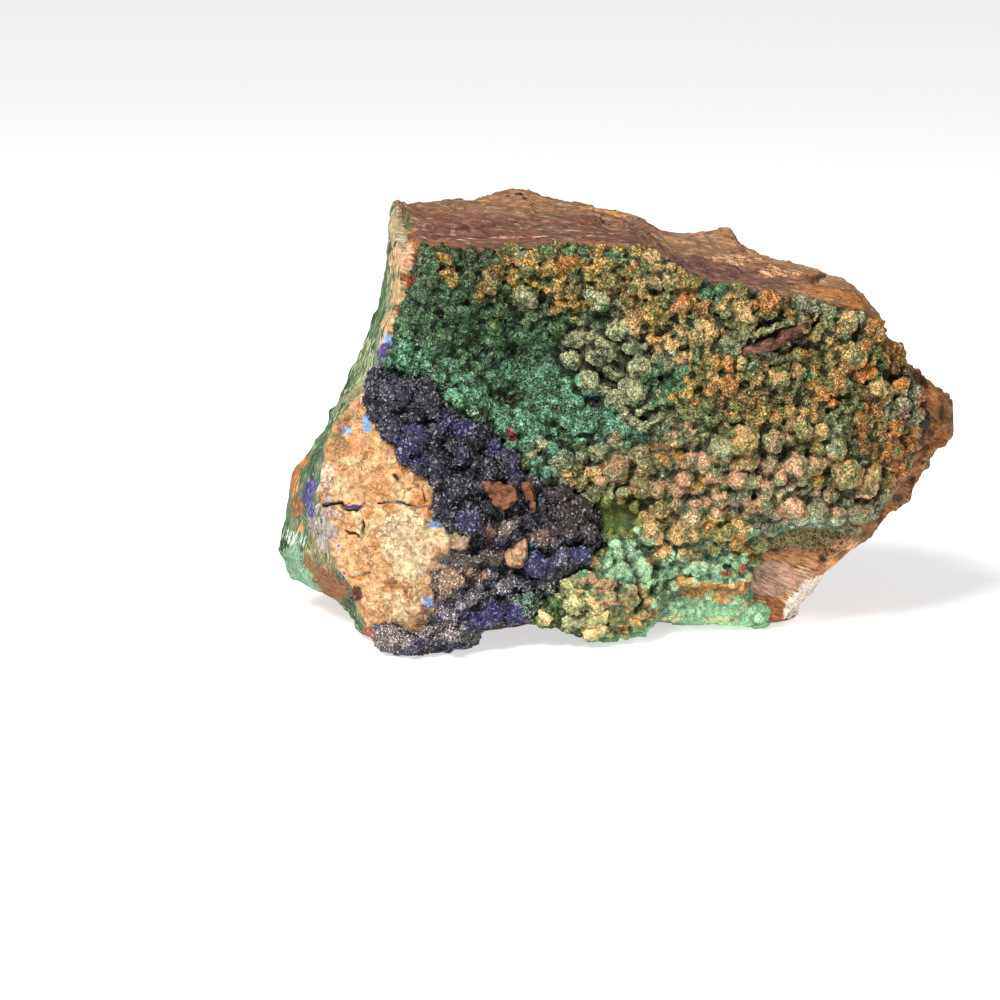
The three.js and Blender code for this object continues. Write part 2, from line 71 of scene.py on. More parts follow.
# %% Face coordinates
LEAN = math.radians(12)
MIDDLE = np.array([-0.48, 4.83, 0.0])
AXES = np.array([
    [1.0, 0.0, 0.0],
    [0.0, math.sin(LEAN), math.cos(LEAN)],
    [0.0, math.cos(LEAN), -math.sin(LEAN)],
])


def to_face(points):
    """Metres in the model's frame, as millimetres across, up and into the face."""
    return (np.asarray(points) / MM + MIDDLE) @ AXES.T


def to_model(face_points):
    """The other way round."""
    return (np.asarray(face_points) @ AXES - MIDDLE) * MM


# %% Seeded noise on arrays of points
def lattice(cells, seed):
    """A fixed pseudo-random number from 0 to 1 for each whole-numbered cell."""
    mixed = cells @ np.array([127.1, 311.7, 74.7]) + seed * 19.19
    return np.modf(np.abs(np.sin(mixed) * 43758.5453))[0]


def clouds(points, size, seed=0):
    """Smooth noise from -1 to 1 whose lumps are about `size` wide, in the points' own unit."""
    scaled = points / size
    cell = np.floor(scaled)
    part = scaled - cell
    part = part * part * (3 - 2 * part)
    total = np.zeros(len(points))
    for corner in np.ndindex(2, 2, 2):
        weight = np.prod(np.where(corner, part, 1 - part), axis=1)
        total += weight * lattice(cell + corner, seed)
    return 2 * total - 1


def rough_clouds(points, size, seed=0, octaves=3):
    """Noise with ever finer lumps."""
    return sum(clouds(points, size / 2 ** n, seed + n) / 2 ** n for n in range(octaves)) / 1.6


def ease(low, high, values):
    """0 below low, 1 above high, and a soft step between."""
    t = np.clip((values - low) / (high - low), 0, 1)
    return t * t * (3 - 2 * t)


# %% Meshes in and out of arrays
def merged_copy(node):
    """A copy of a solid's mesh with its loose triangles joined up."""
    body = bmesh.new()
    body.from_mesh(node.data)
    bmesh.ops.remove_doubles(body, verts=body.verts, dist=1e-6)
    return body


def new_object(name, data):
    made = bpy.data.objects.new(name, data)
    bpy.context.scene.collection.objects.link(made)
    return made


def object_from(name, body):
    """A new object from a body that is being built, which it uses up."""
    mesh = bpy.data.meshes.new(name)
    body.to_mesh(mesh)
    body.free()
    return new_object(name, mesh)


def object_from_points(name, points, faces=()):
    mesh = bpy.data.meshes.new(name)
    mesh.from_pydata([tuple(p) for p in points], [], list(faces))
    return new_object(name, mesh)


def read_points(mesh):
    flat = np.empty(3 * len(mesh.vertices))
    mesh.vertices.foreach_get("co", flat)
    return flat.reshape(-1, 3)


def read_normals(mesh):
    flat = np.empty(3 * len(mesh.vertices))
    mesh.vertex_normals.foreach_get("vector", flat)
    return flat.reshape(-1, 3)


def write_points(mesh, points):
    mesh.vertices.foreach_set("co", points.ravel())
    mesh.update()


def write_values(mesh, name, values):
    mesh.attributes.new(name, "FLOAT", "POINT").data.foreach_set("value", values.astype(np.float32))


def write_colours(mesh, name, colours):
    flat = np.ones((len(colours), 4), np.float32)
    flat[:, :3] = colours
    mesh.attributes.new(name, "FLOAT_COLOR", "POINT").data.foreach_set("color", flat.ravel())


def settle(piece):
    """Turns what the modifiers make into a plain mesh, and takes the modifiers off."""
    graph = bpy.context.evaluated_depsgraph_get()
    mesh = bpy.data.meshes.new_from_object(piece.evaluated_get(graph))
    mesh.name = piece.name
    piece.modifiers.clear()
    piece.data = mesh
    return mesh


def drop_doubled(mesh):
    """Takes out pairs of faces that lie back to back with nothing between them."""
    shape = bmesh.new()
    shape.from_mesh(mesh)
    same = {}
    for face in shape.faces:
        same.setdefault(frozenset(face.verts), []).append(face)
    doubled = [face for faces in same.values() if len(faces) > 1 for face in faces]
    if doubled:
        bmesh.ops.delete(shape, geom=doubled, context="FACES")
        shape.to_mesh(mesh)
    shape.free()


def thin_out(piece, hidden, share=0.05):
    """Leaves only a small share of the faces in the part of a mesh that nothing can show."""
    group = piece.vertex_groups.new(name="hidden")
    group.add(np.flatnonzero(hidden).tolist(), 1.0, "REPLACE")
    decimate = piece.modifiers.new("thin_out", "DECIMATE")
    decimate.vertex_group = group.name
    decimate.ratio = 1 - hidden.mean() * (1 - share)
    mesh = settle(piece)
    drop_doubled(mesh)
    piece.vertex_groups.clear()
    return mesh


def triangles(mesh):
    mesh.calc_loop_triangles()
    return len(mesh.loop_triangles)


def keep_in_box(mesh):
    """Nothing may reach out of the solid model's box, least of all under the floor."""
    low, high = (np.array(corner) for corner in cad_box)
    write_points(mesh, np.clip(read_points(mesh), low, high))


# %% [markdown]
# ## One helper for node trees
# Shaders and Geometry Nodes are both written here as Python expressions. `Wire` wraps one output
# socket and turns +, -, * and a number divided by it into Math nodes. `Graph.add` makes every other
# node.

# %% The node helper
class Wire:
    def __init__(self, graph, socket):
        self.graph, self.socket = graph, socket

    def __add__(self, other):
        return self.graph.maths("ADD", self, other)

    def __sub__(self, other):
        return self.graph.maths("SUBTRACT", self, other)

    def __rsub__(self, other):
        return self.graph.maths("SUBTRACT", other, self)

    def __mul__(self, other):
        return self.graph.maths("MULTIPLY", self, other)

    def __rtruediv__(self, other):
        return self.graph.maths("DIVIDE", other, self)

    __radd__ = __add__
    __rmul__ = __mul__


class Graph:
    def __init__(self, tree):
        self.tree = tree

    def add(self, kind, settings=None, inputs=None, out=0):
        made = self.tree.nodes.new(kind)
        for name, value in (settings or {}).items():
            setattr(made, name, value)
        for key, value in (inputs or {}).items():
            for part in value if isinstance(value, list) else [value]:
                if isinstance(part, Wire):
                    self.tree.links.new(part.socket, made.inputs[key])
                else:
                    made.inputs[key].default_value = part
        return Wire(self, made.outputs[out])

    def other(self, wire, name):
        """Another output of the node that a wire comes from."""
        return Wire(self, wire.socket.node.outputs[name])

    def mix(self, amount, first, second, blend="MIX"):
        """Colours mixed: the Mix node keeps its colour sockets at 6 and 7, and its result at 2."""
        settings = {"data_type": "RGBA", "blend_type": blend}
        return self.add("ShaderNodeMix", settings, {0: amount, 6: first, 7: second}, out=2)

    def step(self, low, high, value):
        """0 below low and 1 above high, with a soft step."""
        values = {"Value": value, "From Min": low, "From Max": high}
        return self.add("ShaderNodeMapRange", {"interpolation_type": "SMOOTHSTEP"}, values)

    def maths(self, operation, *values):
        return self.add("ShaderNodeMath", {"operation": operation}, dict(enumerate(values)))

    def vectors(self, operation, *values, scale=None, out=0):
        """Vectors combined. Only the operation SCALE takes a scale."""
        inputs = dict(enumerate(values))
        if scale is not None:
            inputs["Scale"] = scale
        return self.add("ShaderNodeVectorMath", {"operation": operation}, inputs, out)

    def chance(self, low, high, seed):
        """A random number for each instance."""
        inputs = {2: low, 3: high, "Seed": seed}
        return self.add("FunctionNodeRandomValue", {"data_type": "FLOAT"}, inputs, out=1)

    def any_turn(self, seed):
        """A random rotation for each instance."""
        inputs = {0: (0.0, 0.0, 0.0), 1: (6.3, 6.3, 6.3), "Seed": seed}
        return self.add("FunctionNodeRandomValue", {"data_type": "FLOAT_VECTOR"}, inputs)

    def stored(self, name):
        """A number that is stored on the points of a mesh, for Geometry Nodes."""
        return self.add("GeometryNodeInputNamedAttribute", {"data_type": "FLOAT"}, {"Name": name})

    def noise(self, place, scale, detail=2.0, roughness=0.6):
        values = {"Vector": place, "Scale": scale, "Detail": detail, "Roughness": roughness}
        return self.add("ShaderNodeTexNoise", None, values)

    def attribute(self, name, out="Fac"):
        return self.add("ShaderNodeAttribute", {"attribute_name": name}, out=out)


def tree_with(name, inputs):
    """A Geometry Nodes tree with a geometry in and out, and these named inputs."""
    tree = bpy.data.node_groups.new(name, "GeometryNodeTree")
    tree.interface.new_socket("Geometry", in_out="INPUT", socket_type="NodeSocketGeometry")
    tree.interface.new_socket("Geometry", in_out="OUTPUT", socket_type="NodeSocketGeometry")
    for label, kind in inputs.items():
        tree.interface.new_socket(label, in_out="INPUT", socket_type=kind)
    return tree, Graph(tree)


def use_tree(piece, tree, values):
    """Puts the tree on a piece as a modifier and sets its inputs by their identifiers."""
    modifier = piece.modifiers.new(tree.name, "NODES")
    modifier.node_group = tree
    for item in tree.interface.items_tree:
        if item.in_out == "INPUT" and item.name in values:
            modifier[item.identifier] = values[item.name]


def finish_tree(graph, geometry, material):
    """Every tree ends the same way: real mesh, not instances, and a material on it."""
    real = graph.add("GeometryNodeRealizeInstances", None, {"Geometry": geometry})
    painted = graph.add("GeometryNodeSetMaterial", None, {"Geometry": real, "Material": material})
    output = graph.tree.nodes.new("NodeGroupOutput")
    graph.tree.links.new(painted.socket, output.inputs["Geometry"])


def srgb(red, green, blue):
    """A colour as it is read off a screen, in the linear form that shaders use."""
    def linear(level):
        level /= 255
        return level / 12.92 if level <= 0.04045 else ((level + 0.055) / 1.055) ** 2.4
    return np.array([linear(red), linear(green), linear(blue)])


def rgba(red, green, blue):
    return (*srgb(red, green, blue), 1.0)


# %% [markdown]
# ## How deep the rock lies under the druse
# The crusts grow on the rock, so the script first measures the rock: it drops a ray onto the solid
# rock at each point of a fine grid over the druse face. The chips and the thin wall that stand out
# of the rock would look like hills to the crusts, so the grid is smoothed over under them.

# %% Measure the rock under the face
GRID = 0.6
OUTSIDE = -80.0
FILL_TIMES = 200
grid_across = np.arange(-60, 60, GRID)
grid_up = np.arange(-7, 71, GRID)

rock_body = merged_copy(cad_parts["matrix_rock"])
rock_tree = BVHTree.FromBMesh(rock_body)
rock_body.free()

# What stands out of the rock: middle, [length, thickness] and slope in degrees.
CHIPS = [
    {"at": (-19.3, 22.2), "size": (5.6, 4.0), "turn": 12},
    {"at": (-15.2, 20.8), "size": (1.9, 4.2), "turn": -22},
    {"at": (-14.2, 14.4), "size": (3.6, 4.6), "turn": 30},
]
SEPTUM = {"at": (24.8, 47.0), "size": (11.5, 1.2), "turn": 17}


def turned(across, up, at, turn):
    """Places as seen from a middle, along axes that are turned by so many degrees."""
    angle = math.radians(turn)
    da, du = across - at[0], up - at[1]
    return da * math.cos(angle) + du * math.sin(angle), du * math.cos(angle) - da * math.sin(angle)


def on_slabs(across, up, margin):
    """Which places lie on a chip or on the wall, or this close to one."""
    found = np.zeros(across.shape, bool)
    for slab in [*CHIPS, SEPTUM]:
        along, over = turned(across, up, slab["at"], slab["turn"])
        half_length, half_width = slab["size"][0] / 2, slab["size"][1] / 2
        found |= (abs(along) < half_length + margin) & (abs(over) < half_width + margin)
    return found


def neighbours(grid):
    """The grid moved by one cell each way."""
    return [np.roll(grid, step, axis) for axis in (0, 1) for step in (1, -1)]


def measure_depths():
    """How deep the rock lies at each grid point, and which points have no rock behind them."""
    across, up = np.meshgrid(grid_across, grid_up, indexing="ij")
    starts = to_model(np.stack([across, up, np.full_like(up, OUTSIDE)], axis=-1).reshape(-1, 3))
    into = Vector(AXES[2])
    depths = np.full(len(starts), np.nan)
    for i, start in enumerate(starts):
        hit = rock_tree.ray_cast(Vector(start), into)
        if hit[0] is not None:
            depths[i] = OUTSIDE + hit[3] / MM
    depths = depths.reshape(across.shape)
    missing = np.isnan(depths)
    hidden = on_slabs(across, up, 0.9) & ~missing
    depths[missing] = np.nanmax(depths)
    for _ in range(FILL_TIMES):
        depths = np.where(hidden, sum(neighbours(depths)) / 4, depths)
    return depths, missing


rock_depth, off_rock = measure_depths()


def soften(grid, times=1):
    for _ in range(times):
        grid = sum(neighbours(grid), grid * 4) / 8
    return grid


def between_cells(grid, a, u):
    """The grid's value at fractional cell numbers, from the four nearest cells."""
    a, u = np.clip(a, 0, grid.shape[0] - 1.001), np.clip(u, 0, grid.shape[1] - 1.001)
    i, j = a.astype(int), u.astype(int)
    s, t = a - i, u - j
    if grid.ndim == 3:
        s, t = s[:, None], t[:, None]
    low = grid[i, j] * (1 - s) + grid[i + 1, j] * s
    high = grid[i, j + 1] * (1 - s) + grid[i + 1, j + 1] * s
    return low * (1 - t) + high * t


def read_grid(grid, across, up):
    """The value at any place of a grid that lies over the druse face."""
    return between_cells(grid, (across - grid_across[0]) / GRID, (up - grid_up[0]) / GRID)


smooth_depth = soften(rock_depth, 3)
slope_across, slope_up = np.gradient(smooth_depth, GRID)
on_rock = rock_depth[~off_rock]
print("rock depth over the face, mm:", on_rock.min().round(1), "to", on_rock.max().round(1))


def outwards(across, up):
    """The way out of the rock at places on the face, in face coordinates."""
    way = np.stack([read_grid(slope_across, across, up), read_grid(slope_up, across, up),
                    -np.ones_like(across)], axis=-1)
    return way / np.linalg.norm(way, axis=1)[:, None]


# %% The edges of the two crusts
MALACHITE_ZONE = np.array([
    [-33.2, 63.4], [-27, 62.6], [-19.5, 62], [-11.5, 63.2], [-3.5, 63], [4.5, 62.5], [8, 60.5],
    [13, 57.5], [23.5, 55], [35.5, 53.3], [39.8, 52], [42.8, 48.6], [45.6, 44], [49.6, 40], [51.6, 35.4],
    [50, 29.6], [45.4, 22.4], [42, 18.4], [38, 17.4], [30, 17], [24.5, 15.4], [22, 10], [22, 5],
    [25, 3], [25.5, 0.4], [19, 0.6], [13.5, 1], [6, 1.6], [3.5, -0.2], [-4, -1.4], [-10.5, 1.2],
    [-15.5, 1.6],
    [-12.5, 5], [-7.5, 10], [-3, 14], [-3.5, 20], [-7, 22.4], [-10.4, 23.4], [-13.1, 24.2],
    [-16, 25.4], [-17.4, 28.6], [-19, 31.2], [-21.8, 33], [-24.7, 34.2], [-28.2, 35.6], [-29.8, 38.8],
    [-32.6, 41], [-36.5, 42.2], [-39, 42.4], [-37.8, 47], [-36.2, 51], [-34.6, 56], [-33.4, 60.5],
])
AZURITE_ZONE = np.array([
    [-40.5, 42.8], [-36.5, 42.2], [-32.6, 41], [-29.8, 38.8], [-28.2, 35.6], [-24.7, 34.2], [-21.8, 33],
    [-19, 31.2], [-17.4, 28.6], [-16, 25.4], [-13.1, 24.2], [-10.4, 23.4], [-7, 22.4], [-3.5, 20],
    [-3, 14], [-7.5, 10], [-12.5, 5], [-15.5, 1.6], [-21.5, 1.4], [-24.5, -1.2], [-28, -4],
    [-35, -4.5], [-41.5, -3], [-40, 1], [-34, -0.5], [-30.4, 1.4], [-28.8, 4.6], [-30.4, 7.4],
    [-30.4, 10], [-28.4, 12.4], [-25, 13.1], [-21.6, 13.6], [-22.4, 15], [-26, 16], [-29, 18], [-30.5, 21],
    [-30.5, 25], [-35.5, 28.5], [-39.5, 34], [-41.5, 38],
])


# How far past its zone each crust's bed is built, sunk in the rock there.
BED_SPILL = 1.2


def away_from_leg(start, end, across, up):
    """The distance from each place to the straight line from start to end."""
    (ax, ay), (bx, by) = start, end
    length = (bx - ax) ** 2 + (by - ay) ** 2
    t = np.clip(((across - ax) * (bx - ax) + (up - ay) * (by - ay)) / length, 0, 1)
    return np.hypot(across - ax - t * (bx - ax), up - ay - t * (by - ay))


def within(zone, across, up):
    """How far inside a zone's edge each place lies, in millimetres, and less than 0 outside it."""
    inside = np.zeros(across.shape, bool)
    nearest = np.full(across.shape, np.inf)
    for start, end in zip(zone, np.roll(zone, -1, axis=0)):
        (ax, ay), (bx, by) = start, end
        if ay != by:
            crossing = ax + (up - ay) * (bx - ax) / (by - ay)
            inside ^= ((ay > up) != (by > up)) & (across < crossing)
        nearest = np.minimum(nearest, away_from_leg(start, end, across, up))
    return np.where(inside, nearest, -nearest)


def blot(across, up, at, reach, turn=0):
    """1 in the middle of an ellipse and 0 at its edge."""
    along, over = turned(across, up, at, turn)
    return np.clip(1 - (along / reach[0]) ** 2 - (over / reach[1]) ** 2, 0, 1)


def pits(across, up, places):
    """1 in the middle of each round pit, given as [across, up, radius], and 0 outside them."""
    return np.max([np.clip(1 - np.hypot(across - a, up - u) / r, 0, 1) for a, u, r in places], axis=0)


# %% [markdown]
# ## The malachite balls
# Malachite grows as balls that pack against each other, and here each ball has a thin dusting of
# ochre, rose or grey iron oxide on its cap, with fresh green down its sides. The larger balls are
# listed one by one, sorted by the colour of their caps, because their sizes and colours make the
# pattern of the whole face. The small ones between them are packed in at random later on.

# %% Places of the larger balls: [across, up, radius]
BALLS = {
    "green": [
        [-31.5, 61.4, 1.5], [-32, 59.6, 1.5], [-27, 60.9, 1.6], [-24.6, 61.2, 1.5], [-24.5, 57.5, 2],
        [-30.5, 57, 1.6], [-12, 61.9, 1.5], [-6, 61.6, 1.5], [-19.5, 53.5, 2.1], [-20.5, 50.5, 1.8],
        [-12.5, 53.5, 1.7], [-10, 50.5, 2], [-2, 51.5, 1.6], [12.5, 46, 1.5], [-6.5, 30.4, 1.7],
        [-8.5, 31.6, 1.5], [-14.5, 4.5, 1.5], [-10.5, 4.6, 1.5], [5.5, 6.5, 1.5],
    ],
    "sage": [
        [-15.6, 55, 2.2], [-7.5, 48.5, 2], [-3.5, 54.5, 2.2], [-0.7, 50, 2.1], [-2.3, 46.6, 2],
        [-8, 45, 2], [0.5, 45.6, 2.4], [-3.6, 45.4, 2], [3.5, 43.6, 2.5], [2.2, 47.2, 1.6],
        [6.8, 44.8, 1.6], [-5, 41, 2.5], [-2.4, 39.8, 1.6], [2.6, 39.6, 2.8], [-0.6, 38, 2.3],
        [0, 42.4, 1.5], [-9.5, 28, 2.2], [-3.4, 29.4, 2], [-6.6, 28.6, 1.6], [32.5, 19.8, 1.9],
        [16.5, 29.8, 2.1], [35.5, 30, 1.7], [4.2, 33.6, 1.5],
    ],
    "tan": [
        [-21, 57, 2], [5.2, 60.5, 1.9], [5.5, 57.2, 1.7], [8.4, 57, 1.6], [2, 50.8, 2],
        [13.5, 49, 2.8], [10.4, 48.2, 1.6], [16.8, 53, 2], [8.6, 46.6, 1.5], [20.5, 51, 2.4],
        [19.4, 55.3, 2.1], [29.4, 50.5, 2], [32, 49, 1.6], [37, 50.9, 2], [34, 47, 1.5],
        [38, 45.5, 2.6], [42.4, 40.1, 2], [22, 42, 1.9], [25.6, 41.4, 2.1], [29, 42.6, 1.6],
        [20, 31.3, 2.6], [21, 28.6, 2], [30, 33, 2], [33, 32.8, 1.5], [37.4, 26, 2.6],
        [40.6, 24.2, 2.3], [42.2, 26.2, 1.6], [-7.4, 26.4, 1.6], [4.6, 27, 1.8], [-4.4, 26, 1.6],
        [4, 24, 2], [7, 20.5, 2], [9.4, 16, 1.6], [11.8, 16.8, 2.3],
        [20.6, 16.8, 1.9], [5, 16.6, 2.5], [7, 13, 2.1], [11, 13, 1.6], [1.4, 5.6, 2.2], [3.6, 3.2, 1.6],
        [-0.6, 2.2, 1.7], [3, 1.2, 1.6], [4.6, 4.4, 1.5], [0.4, 0, 1.5],
    ],
    "ochre": [
        [-28.4, 60.4, 1.5], [-28.6, 58.4, 1.5], [-23, 54.8, 1.6], [-17.5, 58.6, 1.3], [-18, 61.8, 1.6],
        [-15, 60, 2], [-11.6, 59.6, 1.7], [-13, 57.4, 1.6], [-4.5, 58.8, 1.9], [-8, 56.2, 2],
        [-9.6, 54, 1.6], [-7, 51.6, 1.2], [-1.9, 57.3, 2.4], [2.4, 61.8, 1.5], [11.6, 57.2, 2],
        [5.3, 52.2, 2.5], [10.4, 52, 1.5], [13, 41.6, 1.9], [11.3, 39, 1.6], [15.6, 42.4, 1.6],
        [19, 35.4, 1.6], [22.6, 36, 2], [28, 36.4, 1.7], [30.6, 37.4, 1.5], [30.5, 45, 1.9],
        [34.6, 44.4, 1.5], [32.2, 30.4, 1.6], [32.6, 25, 1.5], [15, 17, 1.6], [17.6, 16.6, 2],
        [19.6, 15, 1.6], [13, 24, 1.5],
    ],
    "orange": [
        [-19.6, 59.4, 1.1], [-8, 59.6, 1.1], [10, 53.6, 1.7], [24, 53.4, 2.6], [41.6, 49.2, 2.4],
        [42.4, 51, 1.5], [40.4, 46.8, 1.6], [45.4, 45.4, 2.5], [41, 42.6, 1.6], [35.5, 40.6, 2.1],
        [33, 39.4, 1.5], [46.6, 40.4, 1.6], [15, 39.4, 1.6], [39.5, 35.2, 1.7], [42.6, 37.4, 1.6],
        [45.5, 33.8, 1.6], [45, 30, 2.1], [46, 28, 1.6], [17.6, 40.4, 2],
    ],
    "brown": [
        [1, 54.3, 2.1], [14, 53.2, 2], [27.8, 52, 1.6], [20, 38.2, 2.4], [23.2, 38.8, 1.9],
        [25.2, 37.8, 1.5], [39.6, 39.4, 1.6], [47.4, 42.4, 1.5], [40, 30.5, 1.7], [43.4, 32, 1.5],
        [7, 28, 1.5],
    ],
    "grey": [
        [-16.5, 61.9, 1.4], [29.4, 53.4, 1.8], [31.4, 53, 1.5], [47, 37.4, 1.6], [19, 22, 1.5],
    ],
    "rose": [
        [-0.5, 27, 2.5], [3.5, 29, 1.6], [-3, 24.6, 1.2], [0.6, 23, 1.2], [9, 31.8, 1.6],
        [10.6, 25, 1.5], [13.6, 27.9, 1.8], [15.6, 26, 1.5], [9.8, 21, 1.6], [9.4, 23.4, 1.4],
        [12.4, 20.4, 1.7], [12, 18.6, 2], [16.6, 22, 1.5], [16, 19.4, 1.5], [25, 31.4, 2],
        [24.5, 27.6, 1.7], [28.6, 27.4, 2.1], [30, 25.4, 1.5], [32, 27.4, 1.7], [26.2, 25.4, 1.5],
        [19.5, 25, 1.6], [21.6, 24.8, 1.6], [20.5, 23, 1.5], [24, 23.4, 1.6], [24, 21.2, 1.6],
        [21.6, 21, 1.5], [26, 19.6, 1.5], [28.4, 20.5, 2.2], [29.8, 19, 1.6], [32, 22.6, 1.2],
        [35, 22.6, 1.4], [36, 19, 1.6], [40, 19.6, 2], [49.4, 35.6, 1.5], [6, 23.6, 1.6],
        [-2, 8, 1.5], [-2, 6, 1.5], [-6.6, 8.6, 1.2],
    ],
    "yellow": [
        [-7.5, 4.5, 2.1], [-4.5, 4.6, 1.8], [-8, 1.6, 1.7], [-5.4, 2, 1.5], [-3, 2.6, 1.5],
        [-5, -0.2, 1.4], [-10, 5.6, 1.1], [-12.6, 2.2, 1.5],
    ],
    "mint": [
        [3.6, 10.4, 2.1], [0.9, 9.2, 2], [13.6, 10.4, 2], [16.2, 9.5, 2], [11.4, 10.6, 1.3],
        [8, 10.4, 1.6], [4.6, 8, 1.6],
    ],
}
# The cap that faces out carries the dust, and the body round it is paler and greener.
CAPS_AND_BODIES = {
    "fern": (srgb(98, 126, 86), srgb(74, 104, 70)), "green": (srgb(72, 92, 50), srgb(56, 76, 40)),
    "sage": (srgb(138, 138, 102), srgb(104, 114, 80)), "tan": (srgb(166, 134, 84), srgb(116, 110, 66)),
    "ochre": (srgb(158, 120, 58), srgb(108, 100, 50)), "orange": (srgb(168, 108, 48), srgb(126, 92, 42)),
    "brown": (srgb(126, 90, 46), srgb(90, 78, 38)), "grey": (srgb(136, 130, 104), srgb(102, 106, 80)),
    "rose": (srgb(172, 132, 98), srgb(118, 120, 84)), "yellow": (srgb(200, 174, 118), srgb(146, 146, 98)),
    "mint": (srgb(154, 186, 144), srgb(126, 168, 128)), "velvet": (srgb(86, 134, 104), srgb(66, 108, 80)),
    "pine": (srgb(74, 110, 72), srgb(56, 88, 56)), "olive": (srgb(106, 112, 52), srgb(86, 98, 46)),
    "moss": (srgb(100, 102, 56), srgb(80, 86, 44)),
}
# How far the middle of a ball stands over the bed, in radii, where it is more than a little.
PROUD = {"sage": 0.25, "rose": 0.25, "yellow": 0.15, "mint": 0.1, "tan": 0.2, "grey": 0.15, "orange": 0.15}
# Colour without a ball: where the crust is smooth velvet, or bare of balls.
STAINS = {
    "velvet": [
        [-33, 44, 3], [-28, 41, 4], [-17, 39, 5], [-23, 37, 4], [-12, 34, 6], [-14, 46, 3], [-9, 38, 5],
        [-3, 34.5, 5], [2, 35, 3], [-10, 42, 4], [-5, 36.5, 3], [-18, 43, 3],
    ],
    "fern": [
        [-21, 53, 2], [-14, 51, 3], [-18, 50, 2], [-12, 48.6, 2.5], [-23.4, 54.6, 1.6], [-10.6, 46.6, 1.6],
        [-8, 41.6, 1.4], [-4.6, 52.4, 1.4],
    ],
    "pine": [
        [-31, 60, 2], [-28, 55, 2.5], [-33, 52, 2], [-25.6, 61, 1.5], [-21.6, 60, 1.5], [-29, 51, 2.5],
        [14.6, 56.6, 2], [16, 54.6, 1.5],
        [-34, 49, 3], [-28, 47, 4], [-30, 53, 3], [-23, 46, 3], [-24, 51, 3], [-18, 49, 3], [-32, 58, 2],
        [-25, 58, 2], [4.5, 40.5, 2.5], [6, 42, 2], [9, 41, 2],
    ],
    "sage": [
        [20.5, 48.4, 1.2], [24, 49.6, 1.2], [27.5, 50.6, 1.2], [22.6, 44.4, 1.2], [26.4, 45.4, 1.2],
        [30, 46.6, 1.2], [12, 51, 1], [34, 51.8, 1.4], [38, 51, 1.2], [40, 28, 1.5], [36, 33, 1.2],
        [18, 26.6, 1.2], [12.6, 29.6, 1.2], [26, 22, 1], [32, 24, 1], [37, 21.6, 1.2], [8, 25.4, 1],
    ],
    "olive": [[-0.4, 18.8, 3.6], [2.4, 20.4, 2]],
    "moss": [
        [26, 45, 2.5], [12, 36, 3], [16, 34, 2.5], [27, 39.5, 2], [35, 36, 2.5], [29, 29.5, 2],
        [-16, 57, 2], [-10, 58, 2], [2, 58, 2], [8, 54, 2], [16, 51, 2], [25, 50, 2],
        [33, 51, 1.5], [38, 48, 2], [43, 45, 1.5], [24, 40, 2], [32, 42, 2], [40, 38, 2],
        [44, 35, 1.5], [38, 31, 2], [24, 34, 2], [35, 24, 1.5], [-12, 55, 2],
    ],
    "mint": [
        [9, 4, 3.5], [14, 2.6, 3.5], [20, 3, 4], [23.5, 2.5, 2.5], [22.6, 13, 1.5], [-1, 12.6, 3],
        [2, 14, 2.5], [7.6, 6.6, 2.5],
    ],
    "grey": [[26, 17, 2], [30, 17.6, 2], [34, 17.8, 2], [38, 18, 2]],
}
# Flat stretches with almost no balls, as [across, up, half-width, half-height], and the holes
# between the balls, which are sunk and also painted dark as painted shade, as [across, up, radius].
FLATS = [[15.5, 3.6, 11, 5], [-0.4, 18.8, 4, 2.8], [33, 17.4, 9, 1.6]]
HOLES = [
    [-18.3, 47, 1.8], [-20.7, 43.8, 1.6], [-23, 41, 1.7], [-2.6, 42.6, 1.3], [7.4, 41.8, 1.8],
    [15, 57.4, 1.6], [17.6, 56.2, 1.5], [17.4, 49, 1.2], [4.8, 46.4, 1.2], [-5, 50.6, 1.2],
    [-6.4, 58.8, 1], [34, 49.2, 1], [33.2, 45.2, 1], [44.6, 42, 1.4], [31.2, 38.8, 1], [35.6, 38.4, 1],
    [22.6, 22.8, 1], [1.8, 21.6, 1.2], [14.8, 24.2, 1], [6.2, 10.8, 1.4], [-6.4, 13, 1.4],
]

anchors = [(*place, name, True) for name, places in BALLS.items() for place in places]
anchors += [(*place, name, False) for name, places in STAINS.items() for place in places]
anchor_at = np.array([a[:2] for a in anchors])
anchor_reach = np.array([a[2] for a in anchors])
anchor_cap, anchor_body = (np.array([CAPS_AND_BODIES[a[3]][n] for a in anchors]) for n in (0, 1))
is_ball = np.array([a[4] for a in anchors])
print("larger balls:", int(is_ball.sum()), "stains:", int((~is_ball).sum()))

# %% [markdown]
# ## The bed that the balls grow from
# Under its balls the malachite is a sheet two or three millimetres thick. It is made as a closed
# slab over the measured rock: a front that swells a little, and a back that is sunk into the rock
# so that no daylight shows between them. It thins out to nothing at its edge.

# %% Beds
BED_GRID = 0.9
SUNK = 0.7


